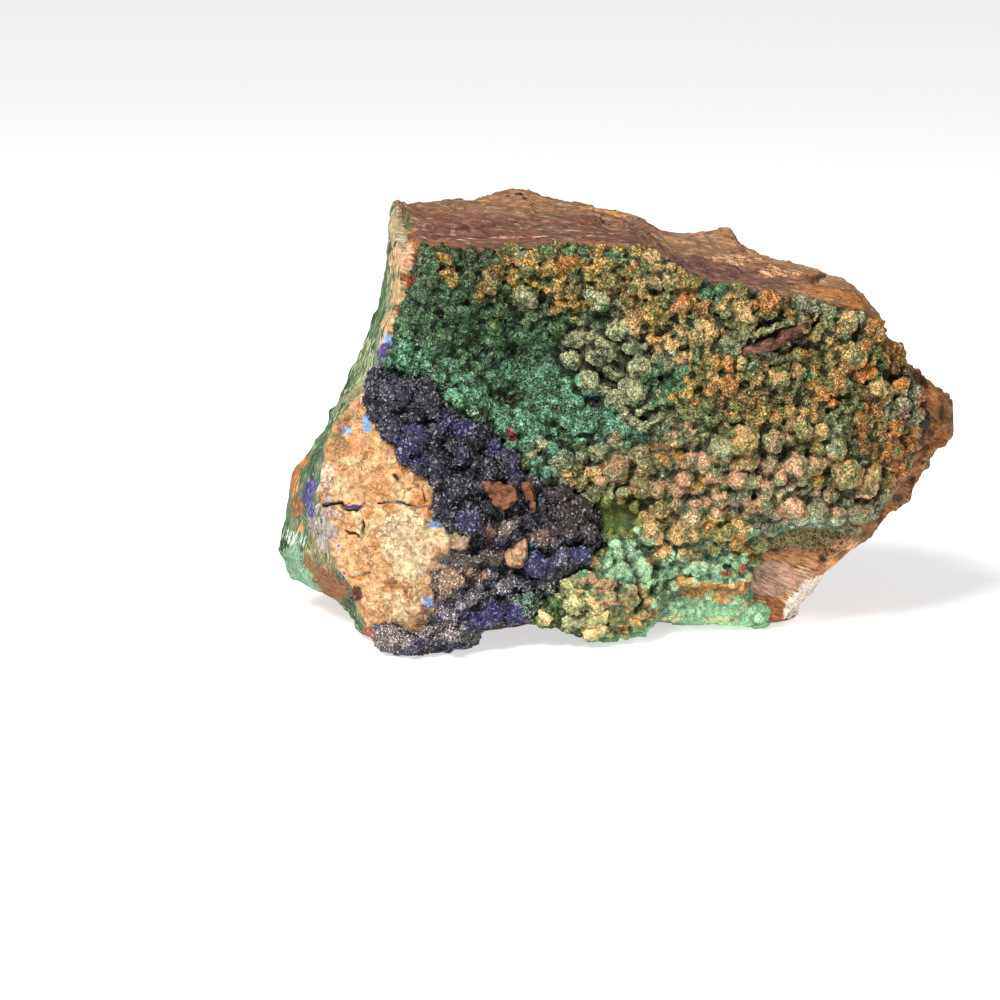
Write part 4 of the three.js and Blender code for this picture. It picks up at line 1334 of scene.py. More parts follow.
def azurite_thickness(across, up):
    places = as_points(across, up)
    swell = 1.7 + 0.8 * clouds(places, 5.0, 41) + 0.4 * clouds(places, 2.4, 42)
    swell -= 2.2 * pits(across, up, AZURITE_HOLLOWS)
    feather = ease(-0.8, 1.4, within(AZURITE_ZONE, across, up))
    return np.maximum(swell, 0.3) * feather - 0.3 * (1 - feather)


def room_for_lumps(across, up):
    inner = ease(0.0, 1.2, within(AZURITE_ZONE, across, up))
    return inner * (pits(across, up, AZURITE_HOLLOWS) < 0.35) * ~on_chips(across, up)


def lump_radius(across, up):
    return 1.2 + 0.3 * clouds(as_points(across, up), 7.0, 43)


lumps = packed(room_for_lumps, lump_radius, seed=17, tries=5000, beside=AZURITE_DOMES, apart=0.62)
lumps = np.vstack([AZURITE_DOMES, lumps])
lump_middle = lifted(lumps, azurite_thickness, 0.25)
print("azurite lumps:", len(lumps))


# %% The tree that scatters crystals
def druse_tree():
    tree, graph = tree_with("scatter_crystals", {
        "Spacing": "NodeSocketFloat", "Density": "NodeSocketFloat", "Size": "NodeSocketFloat",
        "Seed": "NodeSocketInt", "Finish": "NodeSocketMaterial",
    })
    skin = graph.add("NodeGroupInput")
    seed = graph.other(skin, "Seed")
    points = graph.add("GeometryNodeDistributePointsOnFaces", {"distribute_method": "POISSON"}, {
        "Mesh": skin, "Distance Min": graph.other(skin, "Spacing"),
        "Density Max": graph.other(skin, "Density"), "Density Factor": graph.stored("room"),
        "Seed": seed,
    })
    block = graph.add("GeometryNodeMeshCube", None, {"Size": (0.8, 0.8, 0.8)})
    size = graph.chance(0.6, 1.5, seed) * graph.other(skin, "Size")
    shape = graph.add("ShaderNodeCombineXYZ", None, {0: size, 1: size * 0.75, 2: size * 0.5})
    grown = graph.add("GeometryNodeInstanceOnPoints", None, {
        "Points": points, "Instance": block, "Rotation": graph.any_turn(seed), "Scale": shape,
    })
    luck = graph.chance(0.1, 1.0, 5)
    marked = graph.add("GeometryNodeStoreNamedAttribute", {"data_type": "FLOAT", "domain": "INSTANCE"},
                       {"Geometry": grown, "Name": "luck", "Value": luck})
    joined = graph.add("GeometryNodeJoinGeometry", None, {"Geometry": [skin, marked]})
    finish_tree(graph, joined, graph.other(skin, "Finish"))
    return tree


scatter_crystals = druse_tree()

# %% Azurite colours
NAVY = srgb(38, 34, 54)
AZURITE_STAINS = [
    (srgb(60, 52, 108), 0.75, [[-25.1, 18, 2.4, 1.8], [-37, 30.6, 3, 1.6], [-33.4, 28.4, 2.4, 1.4],
                              [-27, 33.4, 3, 1.4], [-21, 30, 2.4, 1.6], [-34.6, 33.4, 2.4, 1]]),
    (srgb(54, 46, 112), 0.8, [[-13.9, 10.9, 2.4, 2.4], [-21, 3, 4.4, 2], [-18, 2.4, 2.4, 1],
                              [-16.4, 14.6, 1.6, 0.8]]),
    (srgb(60, 68, 130), 0.7, [[-6.5, 12.8, 1.6, 1]]),
    (srgb(116, 114, 140), 0.6, [[-10.2, 12.4, 1.4, 2.4]]),
    (srgb(70, 54, 42), 0.65, [[-8.4, 20.4, 4, 4.2], [-5.4, 16.6, 2.4, 2.6], [-10.6, 23.4, 2.2, 1.6],
                              [-4.6, 19.6, 1.4, 2.4]]),
    (srgb(150, 118, 98), 0.6, [[-13, 15.4, 2.4, 1.6], [-8, 16.4, 1.6, 1]]),
    (srgb(170, 146, 128), 0.6, [[-18.6, 17, 1.9, 1.4]]),
    (srgb(156, 98, 58), 0.75, [[-21.4, 15.2, 0.7, 2.3]]),
    (srgb(124, 162, 206), 0.85, [[-14.4, 13.7, 0.7, 0.8], [-31, 5.2, 0.6, 0.8]]),
    (srgb(112, 98, 82), 0.85, [[-25.6, 11.8, 4.6, 1.6], [-21, 12, 3.2, 1.4]]),
    (srgb(208, 172, 134), 0.8, [[-29.2, 9.4, 2.2, 2.4], [-26.4, 8.8, 2.8, 1.4], [-23.6, 9.4, 1.8, 0.9],
                                [-28.8, 6.6, 1.4, 1.4]]),
    (srgb(140, 90, 60), 0.6, [[-26.4, 9.6, 1.6, 0.8], [-28.8, 7.4, 1, 0.8]]),
    (srgb(136, 176, 146), 0.55, [[-14.4, 4.6, 3.2, 2.2]]),
    (srgb(84, 86, 66), 0.6, [[-24.2, -0.8, 2.4, 1]]),
    (srgb(176, 166, 172), 0.55, [[-20, 8, 4, 2.4], [-25, 5.4, 2.6, 2], [-28, 4, 2, 2]]),
    (srgb(120, 114, 136), 0.3, [[-36, 39, 4, 2.4], [-31, 36, 3, 2.4], [-24, 31, 3, 1.6]]),
    (srgb(150, 168, 142), 0.5, [[-15.4, 3.4, 2.2, 1.4], [-11.6, 7.4, 2, 1.2], [-8.4, 10, 1.6, 0.9]]),
    (srgb(180, 164, 154), 0.55, [[-38, -1, 4.6, 2.4], [-28, 0, 3, 1.8], [-33, 0.4, 3, 1.2]]),
    (srgb(92, 82, 116), 0.5, [[-33, -3, 4, 1.6], [-24.6, 0.6, 2.4, 1.6]]),
    (srgb(120, 96, 86), 0.45, [[-14.6, 25, 2.6, 1.4], [-11, 24.4, 2, 1.4], [-15.6, 18.6, 2, 1]]),
    (srgb(170, 140, 90), 0.25, [[-26, 21.6, 3.4, 3], [-22, 19, 3, 1.4], [-14, 22.6, 2, 2]]),
]


def paint_azurite(mesh):
    face = to_face(read_points(mesh))
    colour = mottled(np.tile(NAVY, (len(face), 1)), face, 2.6, 52, 0.5)
    colour = blend(colour, srgb(60, 52, 100), 0.7 * ease(0.05, 0.4, rough_clouds(face, 4.0, 53, 3)))
    colour = blend(colour, srgb(58, 44, 40), 0.5 * ease(0.1, 0.5, rough_clouds(face, 3.4, 54, 3)))
    broad = rise_above(face, 1.5)
    stain, cover = lay_stains(face, AZURITE_STAINS, 51)
    # Painted shade: the hollows are painted much darker, and the druse is a little brighter towards the
    # bottom. The dust takes the same.
    light = (1 - 0.9 * ease(-0.2, 0.8, -broad))[:, None] * (1 + 0.3 * ease(10, 0, face[:, 1]))[:, None]
    write_colours(mesh, "tint", np.clip(colour * light, 0, 1))
    write_colours(mesh, "dust_tint", np.clip(stain * light, 0, 1))
    write_values(mesh, "dust", cover)


# %% Azurite
def azurite_finish():
    material, graph, place = start_finish("azurite")
    luck = graph.attribute("luck")
    specks = grain(graph, place, 0.25, 3.0)
    # Painted light: each crystal is painted lighter or darker by its luck, and some carry a pale painted
    # glint.
    light = 0.18 + 1.15 * luck * graph.step(0.34, 0.66, specks) + 0.35 * threads(graph, place, 0.8)
    colour = shaded(graph, painted(graph, specks), light)
    spark = graph.step(0.5, 0.9, luck) * graph.step(0.43, 0.57, specks)
    glint = graph.mix(0.56, shaded(graph, colour, (1.6, 1.6, 1.6, 1.0)), rgba(194, 190, 204))
    colour = graph.mix(0.9 * spark, colour, glint)
    dress(material, {"Base Color": colour, "Roughness": 0.46 - 0.2 * luck,
                     "Normal": bumped(graph, specks, 0.6, 0.2), "Specular IOR Level": 0.6})
    return material


azurite = azurite_finish()

# %% Build the azurite
AZURITE_VOXEL = 0.34
AZURITE_SKIN = {"Pitch": 1.3 * MM, "Tips": 0.7 * MM, "Lumps": 1.0 * MM, "Swell": 1.6 * MM}


def azurite_druse():
    def in_bed(across, up):
        return within(AZURITE_ZONE, across, up) > -BED_SPILL

    piece = slab_over("azurite_druse", in_bed, azurite_thickness)
    mesh = lumpy_skin(piece, lump_middle, lumps[:, 2], 8, azurite, AZURITE_VOXEL)
    write_values(mesh, "relief", np.ones(len(mesh.vertices)))
    use_tree(piece, crystal_skin, {**AZURITE_SKIN, "Finish": azurite})
    mesh = settle(piece)
    outward = read_normals(mesh) @ AXES.T
    write_values(mesh, "room", ease(0.15, -0.1, outward[:, 2]))
    use_tree(piece, scatter_crystals, {"Spacing": 0.38 * MM, "Density": 1e7, "Size": 0.52 * MM,
                                       "Seed": 4, "Finish": azurite})
    mesh = settle(piece)
    keep_in_box(mesh)
    paint_azurite(mesh)
    print("azurite_druse", triangles(mesh), "triangles")
    return piece


druse = azurite_druse()

# %% [markdown]
# ## The broken rock
# The host rock is gossan, an iron-stained rock that breaks in layers. A copy of the solid is
# remeshed finely enough to carry relief, and then each region gets its own: long terraces on the
# top, a fibrous side, a blocky knob with open cracks, and a plain rough break at the back.

# %% Remesh the rock
ROCK_VOXEL = 0.5
# The melt rounds corners off, so a few are drawn out again or trimmed: place, reach and move as
# [across, up], [across, up] and [across, up, depth].
NUDGES = [
    ([-37.8, 67.5], [3.0, 5.0], [-0.4, 3.0, 0]), ([55.5, 36.5], [3.5, 5.0], [1.4, 1.2, 0]),
    ([-42.5, 44.0], [4.0, 8.0], [0.9, 0, 0]), ([-47.0, 4.5], [4.0, 4.0], [1.6, 0.6, 0]),
    ([37.5, 8.0], [8.0, 8.5], [-2.0, 0, 0]), ([34.0, 4.0], [5.0, 2.2], [-1.6, 0, 0]),
    ([6.0, -1.5], [19.0, 2.6], [0, 1.6, 5.0]), ([-13.0, -1.5], [8.0, 2.6], [0, 1.4, 4.0]),
    ([-37.3, 69.5], [1.4, 3.0], [0.2, 1.6, 0]),
    ([1.0, 69.0], [9.0, 4.0], [0, 0.9, 0]), ([38.0, 56.0], [4.0, 3.0], [0, 1.3, 0]),
    ([-52.0, 28.0], [5.0, 5.0], [-0.5, 0.4, 0]),
]


def rock_copy():
    piece = object_from("gossan_matrix", merged_copy(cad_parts["matrix_rock"]))
    melt(piece, ROCK_VOXEL)
    mesh = settle(piece)
    face = to_face(read_points(mesh))
    across, up, depth = face.T
    floor_of_crust = read_grid(smooth_depth, across, up)
    proud = on_chips(across, up, 0.8) & (depth < floor_of_crust) & (depth > floor_of_crust - 9)
    face[proud, 2] = floor_of_crust[proud] + 0.3
    for at, reach, move in NUDGES:
        nearness = np.exp(-((across - at[0]) / reach[0]) ** 2 - ((up - at[1]) / reach[1]) ** 2)
        face += nearness[:, None] * np.array(move)
    write_points(mesh, to_model(face))
    edge = np.maximum(within(MALACHITE_ZONE, across, up), within(AZURITE_ZONE, across, up))
    thin_out(piece, (edge > 2.5) & (depth < floor_of_crust + 1.5))
    return piece


rock = rock_copy()


# %% Which region each point of the rock is in
def rock_regions(face, out):
    """Soft masks from 0 to 1, from places and normals in face coordinates."""
    across, up, depth = face.T
    side, rise, back = out.T
    covered = np.maximum(ease(-0.6, 0.8, within(MALACHITE_ZONE, across, up)),
                         ease(-0.6, 0.8, within(AZURITE_ZONE, across, up)))
    covered *= ease(0.1, -0.2, back) * ease(4, 0, depth - read_grid(smooth_depth, across, up))
    top = np.maximum(ease(0.4, 0.65, rise) * ease(44, 50, up), ease(63.2, 64.4, up) * (side > -0.6))
    behind = ease(0.1, 0.5, back)
    left = ease(0.45, 0.75, -side) * (1 - behind) * ease(-30, -36, across)
    knob = ease(-18, -24, across) * ease(46, 40, up) * (1 - left) * (1 - behind) * ease(-8, -12, depth)
    bare = (1 - top) * (1 - left) * (1 - knob) * (1 - behind)
    return {"covered": covered, "top": top, "behind": behind, "left": left, "knob": knob, "bare": bare}


def away_from_path(path, across, up):
    """The distance to a line through these places."""
    return np.min([away_from_leg(*leg, across, up) for leg in zip(path, path[1:])], axis=0)


# Open cracks in the knob: path of [across, up], half-width.
CRACKS = [
    ([[-48.6, 20.9], [-45.6, 21.1], [-44.9, 20.2], [-43.2, 20], [-41.8, 21.1]], 0.22),
    ([[-42.8, 20.2], [-42.1, 19.1], [-41.9, 17.4], [-41.8, 16.3], [-42.1, 15.2], [-43.1, 16.1],
      [-44.2, 16.3], [-44.9, 16.7]], 0.2),
    ([[-39.6, 21.1], [-37.6, 21.3], [-35.5, 21.1], [-34.8, 20.7], [-32.7, 20.2], [-31.1, 20.5]], 0.18),
    ([[-35.5, 21.1], [-35.1, 22.7], [-33.9, 23.7], [-33, 24], [-32, 23], [-31.3, 21.4]], 0.17),
    ([[-36.9, 25.7], [-36.2, 24.8], [-35.6, 24.4]], 0.3),
    ([[-43.9, 8.8], [-42.1, 9.4], [-41.1, 9.7]], 0.13),
    ([[-38.3, 7.9], [-35.8, 7.8], [-34.8, 7.1], [-33.4, 7.2]], 0.14),
    ([[-43.2, 7.1], [-42.9, 5.7]], 0.6),
]


def crack_depth(across, up):
    """1 in the middle of a crack and 0 away from it."""
    places = as_points(across, up)
    across = across + 0.3 * rough_clouds(places, 1.2, 61, 3)
    up = up + 0.3 * rough_clouds(places, 1.2, 65, 3)
    open_here = [np.exp(-((away_from_path(path, across, up) / half) ** 2)) for path, half in CRACKS]
    return np.max(open_here, axis=0) * (0.3 + 0.7 * ease(-0.25, 0.15, clouds(places, 2.2, 60)))


def refine_near_cracks(piece):
    """Cuts the faces near the cracks four times finer, so that a narrow crack has sharp sides."""
    body = bmesh.new()
    body.from_mesh(piece.data)
    across, up, depth = to_face([v.co for v in body.verts]).T
    near = np.min([away_from_path(path, across, up) for path, _ in CRACKS], axis=0) < 0.9
    near &= depth < read_grid(smooth_depth, across, up) + 3
    body.verts.index_update()
    edges = [e for e in body.edges if near[e.verts[0].index] and near[e.verts[1].index]]
    bmesh.ops.subdivide_edges(body, edges=edges, cuts=3, use_grid_fill=True)
    body.to_mesh(piece.data)
    body.free()


refine_near_cracks(rock)
print("rock:", triangles(rock.data), "triangles")


def stretched(points, direction, times):
    """Places squeezed along a direction, so that noise comes out stretched that way."""
    direction = np.array(direction, float)
    direction /= np.linalg.norm(direction)
    along = points @ direction
    return points - np.outer(along * (1 - 1 / times), direction)


BEDDING = (1.0, -0.1, -0.25)
FIBRE = (0.3, 0.94, 0.1)
STRIAE = (0.9, -0.35, 0.2)


def block_edge(face):
    """0 on the creases between the blocks that the knob breaks into, and more away from them."""
    return np.abs(rough_clouds(face, 3.6, 75, 2))


def rock_relief(face, region):
    """How far each point moves out along its normal, in millimetres."""
    relief = 0.3 * rough_clouds(face, 6.0, 71, 4)
    layers = stretched(face, BEDDING, 5)
    terrace = ease(-0.06, 0.06, clouds(layers, 2.0, 72)) + ease(-0.04, 0.04, clouds(layers, 0.9, 73)) - 1
    relief += region["top"] * (0.4 * terrace + 0.35 * rough_clouds(layers, 1.6, 73, 3))
    fibres = stretched(face, FIBRE, 5)
    relief += region["left"] * (0.8 * rough_clouds(fibres, 1.8, 74, 3)
                                + 0.5 * rough_clouds(face, 2.2, 69, 3))
    blocks = np.minimum(block_edge(face), 0.35) + 0.5 * np.abs(rough_clouds(face, 1.7, 76, 2))
    relief += region["knob"] * (1.3 * (blocks - 0.4) + 0.5 * rough_clouds(face, 1.4, 77, 2))
    relief += region["behind"] * (0.6 * (ease(-0.15, 0.15, clouds(face, 9.0, 78)) - 0.5)
                                  + 0.4 * rough_clouds(stretched(face, BEDDING, 3), 2.5, 79, 3))
    relief += region["bare"] * 0.5 * rough_clouds(stretched(face, STRIAE, 5), 1.8, 80, 3)
    edge = region["bare"] * ease(38, 44, face[:, 0])
    relief += edge * (1.3 * rough_clouds(face, 2.4, 68, 3) - 0.9 * ease(0.1, 0.3, clouds(face, 1.5, 67)))
    relief *= 1 - 0.8 * region["covered"]
    cracks = crack_depth(face[:, 0], face[:, 1]) * region["knob"] * (1 - region["covered"])
    return relief - 0.9 * cracks


# %% Rock colours
ROCK_BASE = srgb(134, 94, 62)
MAUVE = srgb(106, 72, 58)
TAN = srgb(156, 116, 82)
OCHRE = srgb(166, 112, 56)
RUST = srgb(132, 72, 36)
PEACH = srgb(204, 154, 106)
CREAM = srgb(216, 184, 138)
FIBRE_GREEN = srgb(78, 106, 72)
DARK_BROWN = srgb(66, 42, 26)

# What lies over the ground colour: colour, share covered, and [across, up, half-width, half-height].
ROCK_STAINS = [
    # the narrow front strip of the left edge, from its peak down
    (srgb(160, 144, 108), 0.7, [[-37.4, 68, 1.6, 3.4], [-36.4, 65, 1.4, 2]]),
    (srgb(186, 148, 110), 0.72, [[-35.9, 61.6, 2.1, 3.2], [-36.4, 56, 1.6, 2.4]]),
    (srgb(186, 150, 112), 0.62, [[-37.6, 50.6, 1.6, 2.6], [-38.4, 47.4, 1.2, 1.6]]),
    (srgb(150, 88, 50), 0.6, [[-34.2, 63.8, 1, 0.9], [-35.2, 66, 1.6, 0.7], [-34.2, 60.4, 0.7, 0.9]]),
    (srgb(136, 62, 32), 0.8, [[-34.2, 57.4, 1, 1.1], [-40.6, 42.4, 0.7, 1]]),
    (srgb(134, 136, 94), 0.6, [[-37, 58.2, 1.6, 1], [-37.8, 55.2, 1.2, 2.2]]),
    (srgb(134, 164, 212), 0.9, [[-37.8, 48, 1.2, 0.8], [-41.3, 34.2, 0.8, 1.4], [-44.6, 33, 0.8, 0.7],
                                [-29.8, 17.7, 1.4, 1], [-31.3, 5, 0.7, 0.9], [-17.2, 14.4, 0.7, 0.5]]),
    (srgb(74, 66, 110), 0.8, [[-38.4, 45.4, 1.6, 2.2]]),
    # the fibrous left side
    (srgb(150, 154, 118), 0.45, [[-42, 45, 3, 6], [-45, 37, 3, 5]]),
    (srgb(176, 112, 62), 0.62, [[-54.4, 25.2, 1.1, 2.8], [-52.8, 28.4, 0.8, 1.4]]),
    (srgb(142, 84, 48), 0.58, [[-53.8, 20.4, 1.6, 2.0], [-49.6, 9.4, 3, 2.2], [-46.6, 7, 2.6, 1.8],
                               [-51.6, 11, 1.2, 1.4]]),
    (srgb(70, 62, 128), 0.62, [[-51.4, 22.6, 1.3, 2.6], [-50, 24, 0.8, 1.2], [-50.6, 19.6, 1, 1]]),
    (srgb(160, 148, 146), 0.6, [[-49.4, 18.4, 2.6, 2.6], [-47.2, 16.4, 1.6, 2.2],
                                [-47.6, 20.6, 1.2, 2.4], [-48.4, 14.6, 2, 2]]),
    (srgb(112, 116, 92), 0.45, [[-46.2, 31, 1.6, 4], [-48.2, 26.4, 1.6, 3]]),
    (srgb(92, 78, 136), 0.4, [[-46.6, 13.6, 0.9, 3.4], [-45.4, 8.6, 1, 2]]),
    (srgb(196, 144, 80), 0.55, [[-53.2, 17.2, 0.8, 1.4]]),
    (srgb(186, 204, 184), 0.5, [[-55, 15.2, 1.8, 1.4], [-52.6, 15, 1, 1]]),
    (srgb(120, 156, 126), 0.72, [[-54.8, 11.4, 2.2, 2.6], [-53, 8.6, 2.2, 2.2], [-51.4, 6.6, 1.6, 1.2],
                                 [-48, 4.2, 1.4, 0.9]]),
    (srgb(140, 128, 88), 0.6, [[-49.8, 13.4, 2.4, 2.6], [-47.6, 11, 1.4, 1.4]]),
    # the knob
    (srgb(216, 190, 150), 0.62, [[-34.6, 15, 4.4, 5.4], [-33.4, 11.6, 3, 3.6]]),
    (srgb(220, 196, 146), 0.85, [[-30, 16, 3, 1.4], [-27.6, 15, 2.6, 1.3]]),
    (srgb(238, 208, 174), 0.9, [[-23.8, 14.6, 3.4, 1.3]]),
    (srgb(216, 188, 148), 0.5, [[-37, 5.4, 5.4, 2.6], [-35, 2.6, 3.6, 2.4]]),
    (srgb(156, 112, 76), 0.4, [[-42.4, 29.6, 4, 2.6], [-44, 25.6, 3, 1.8], [-39, 25, 2.4, 1.6],
                               [-41.4, 22.6, 3, 0.8]]),
    (srgb(208, 168, 124), 0.7, [[-30.6, 8.8, 2, 2.6]]),
    (srgb(190, 122, 64), 0.6, [[-41, 19.6, 0.9, 1.3], [-33.2, 21.3, 1.8, 0.6], [-31, 20, 0.5, 1.4],
                               [-37.4, 20.5, 1.8, 0.5],
                               [-36.4, 7.5, 2.6, 0.4], [-42.4, 8.9, 1.6, 0.35]]),
    (srgb(204, 186, 166), 0.5, [[-46.4, 19.2, 1.6, 1], [-47.8, 24.8, 1.4, 3.8], [-35.6, 19.9, 1.5, 0.4]]),
    (srgb(62, 52, 110), 0.7, [[-43.8, 20.5, 2, 0.45], [-35.7, 21.2, 1.3, 0.45], [-47.4, 21, 1, 0.35]]),
    (srgb(128, 110, 92), 0.6, [[-29.6, 12, 1.4, 1.2]]),
    (srgb(112, 98, 108), 0.5, [[-29.6, 4.4, 1.6, 2.4], [-31.6, 2.6, 2, 1.4]]),
    (srgb(64, 54, 110), 0.5, [[-31, 3.4, 2.4, 1.6], [-33.4, 1.8, 2, 1.2], [-29.4, 6.4, 1, 1.6]]),
    # a dark spot on the widest crack, painted shade
    (srgb(82, 46, 24), 1.0, [[-43, 6.4, 0.8, 1.1]]),
    (srgb(150, 92, 62), 1.0, [[-41, -0.6, 1.3, 1.6]]),
    # the bare corner at the lower right
    (srgb(142, 130, 84), 0.75, [[31, 15.2, 9, 1.8], [24.4, 14.6, 2.4, 1.8]]),
    (srgb(146, 146, 112), 0.6, [[37, 16.4, 4, 1.2]]),
    (srgb(224, 168, 122), 0.8, [[37.6, 14.2, 2.6, 1.3]]),
    # thin dark lines just under the malachite's lower edge: painted shadow
    (srgb(60, 38, 24), 0.8, [[28.4, 17, 2.4, 0.4], [25.6, 13.4, 1.2, 0.4]]),
    (srgb(168, 118, 76), 0.66, [[30.3, 12.4, 7.6, 1.7]]),
    (srgb(158, 124, 104), 0.75, [[26, 8.6, 5.5, 3]]),
    (srgb(180, 136, 98), 0.55, [[30.6, 9.4, 3.4, 2], [28, 5.6, 2, 1]]),
    (srgb(222, 206, 190), 0.8, [[32.4, 6.6, 2.3, 1.8], [30.8, 4.8, 2.3, 1.6], [29.2, 3, 1.7, 1.5],
                                [34.2, 8, 1.3, 1]]),
    (srgb(148, 90, 56), 0.8, [[26.2, 3, 2, 2.2]]),
    (srgb(204, 154, 96), 0.8, [[24, 3, 0.8, 2], [36, 11.4, 1.3, 1.8]]),
    (srgb(60, 34, 30), 1.0, [[34.2, 11.7, 0.65, 0.5]]),
    # the right edge
    (srgb(150, 98, 54), 0.6, [[51, 39, 3, 4], [53.6, 34, 2, 5], [49.6, 26.6, 2, 4], [45.6, 19.4, 2, 2.6]]),
    (srgb(140, 66, 34), 0.55, [[50.8, 33.6, 0.9, 2.2], [50.2, 24.8, 1, 1.4], [53.8, 38.4, 1, 0.9]]),
    (srgb(74, 44, 26), 0.62, [[49.4, 42, 1.8, 1.4], [51.4, 41.4, 1, 2], [54.4, 36.2, 0.8, 1.6],
                              [52.2, 33, 1.2, 1],
                              [50.6, 30.4, 1.4, 0.8], [49.6, 24.6, 1, 1.6], [47, 22, 1.6, 0.8],
                              [44.6, 18.6, 1, 1.4]]),
    (srgb(96, 104, 66), 0.5, [[49.8, 36, 1, 3], [48.4, 27, 1, 3], [44.6, 21, 1.6, 2]]),
    (srgb(196, 160, 122), 0.45, [[52.8, 38.4, 1.2, 1], [51.4, 36.4, 0.8, 1.4], [47.8, 19.6, 1, 1],
                                 [51.6, 27.6, 0.7, 1.6]]),
    # the top: the pale line and the red patches along its front, pits painted dark as painted shade, and
    # the lighter back edge
    (srgb(190, 150, 130), 0.45, [[-29, 64.6, 5, 0.3], [-17, 64.9, 6, 0.25], [-5, 65, 4, 0.25]]),
    (srgb(122, 62, 46), 0.36, [[-21.5, 63.4, 3, 0.9], [-7.4, 64, 1.2, 0.8], [-30.4, 63.4, 1.4, 0.5]]),
    (srgb(44, 30, 24), 0.75, [[-18.3, 73.5, 0.5, 0.3], [-16.5, 73.9, 0.7, 0.3], [-15.4, 73, 0.5, 0.25],
                              [28.7, 57.4, 0.6, 0.25]]),
    (srgb(190, 134, 66), 0.7, [[-3, 71.2, 3.4, 0.6], [0.4, 69.9, 2.4, 0.5], [-22.6, 72.4, 1.4, 0.5]]),
    (srgb(196, 152, 116), 0.5, [[20, 61.8, 6, 1.2], [27, 59.8, 4.4, 1]]),
    (srgb(108, 74, 62), 0.75, [[12, 60.8, 4, 1.6], [18, 59.4, 5, 1.6], [24, 57.6, 4, 1.2]]),
    (srgb(166, 110, 58), 0.7, [[34.4, 56, 4, 1.3], [39, 54.4, 3, 1.4]]),
]


def paint_rock(mesh, region, cracks):
    points = read_points(mesh)
    face = to_face(points)
    patches = rough_clouds(face, 9.0, 82, 3)
    ground = np.tile(ROCK_BASE, (len(face), 1)) * (1 + 0.2 * patches)[:, None]
    ground = blend(ground, OCHRE, 0.7 * ease(0.0, 0.5, patches))
    ground = blend(ground, DARK_BROWN, 0.5 * ease(0.1, 0.6, rough_clouds(face, 4.0, 83, 3)))
    plan = points / MM
    paler = ease(-2, 22, plan[:, 1]) * 0.7 + 0.5 * ease(0, 20, plan[:, 0])
    paler += 0.35 * rough_clouds(stretched(face, BEDDING, 8), 2.2, 81, 3)
    top = blend(np.tile(MAUVE, (len(face), 1)), TAN, np.clip(paler, 0, 1))
    top = blend(top, RUST, 0.4 * ease(0.25, 0.6, rough_clouds(stretched(face, BEDDING, 4), 3.0, 84, 3)))
    top = mottled(top, stretched(face, BEDDING, 3), 2.0, 63, 0.42)
    ground = blend(ground, mottled(ground, stretched(face, STRIAE, 3), 1.6, 66, 0.4), region["bare"])
    ground = blend(ground, top, region["top"])
    fibres = rough_clouds(stretched(face, FIBRE, 6), 1.6, 85, 3)
    left = blend(np.tile(FIBRE_GREEN, (len(face), 1)), srgb(150, 140, 100), ease(0.1, 0.5, fibres))
    left = blend(left, srgb(40, 60, 40), ease(0.05, 0.5, -fibres))
    ground = blend(ground, left, region["left"])
    knob = blend(np.tile(PEACH, (len(face), 1)), CREAM, ease(-0.2, 0.4, rough_clouds(face, 3.0, 86, 3)))
    knob = blend(knob, srgb(198, 136, 80), 0.6 * ease(0.05, 0.5, rough_clouds(face, 2.0, 87, 3)))
    knob = blend(knob, srgb(146, 92, 52), 0.6 * ease(0.1, 0.0, block_edge(face)))
    knob = mottled(knob, face, 1.1, 64, 0.15)
    ground = blend(ground, knob, region["knob"])
    # Painted shade: the open cracks are painted dark brown inside.
    ground = blend(ground, srgb(62, 32, 18), np.clip(1.2 * cracks, 0, 1) * region["knob"])
    # Rock under the crusts shows only through their gaps: it is painted dark green, the crust's green in
    # painted shade.
    ground = blend(ground, srgb(40, 52, 34), 0.8 * region["covered"])
    # Painted shade on the rock along the foot, under the crusts' lower edge.
    below = ease(3.0, 1.0, face[:, 1]) * ease(-33, -29, face[:, 0]) * ease(27, 23, face[:, 0])
    ground = blend(ground, srgb(52, 52, 38), 0.8 * below * (1 - region["behind"]))
    write_colours(mesh, "tint", np.clip(ground, 0, 1))
    stain, cover = lay_stains(face, ROCK_STAINS, 88)
    write_colours(mesh, "dust_tint", stain)
    write_values(mesh, "dust", cover * (1 - region["behind"]) * (1 - 0.8 * np.clip(cracks, 0, 1)))
    grainy = blot(face[:, 0], face[:, 1], (31, 15.4), (11, 2.8))
    grainy = np.maximum(grainy, blot(face[:, 0], face[:, 1], (36, 14), (3, 3)))
    grainy = ease(0.0, 0.4, grainy) * region["bare"]
    write_values(mesh, "grainy", grainy)
    write_values(mesh, "layered", np.maximum(region["top"], 0.7 * region["bare"] * (1 - grainy)))
    write_values(mesh, "grooved", 0.7 * region["bare"] * (1 - region["top"]) * (1 - grainy))
    write_values(mesh, "fibrous", region["left"])
    write_values(mesh, "flaky", region["knob"])


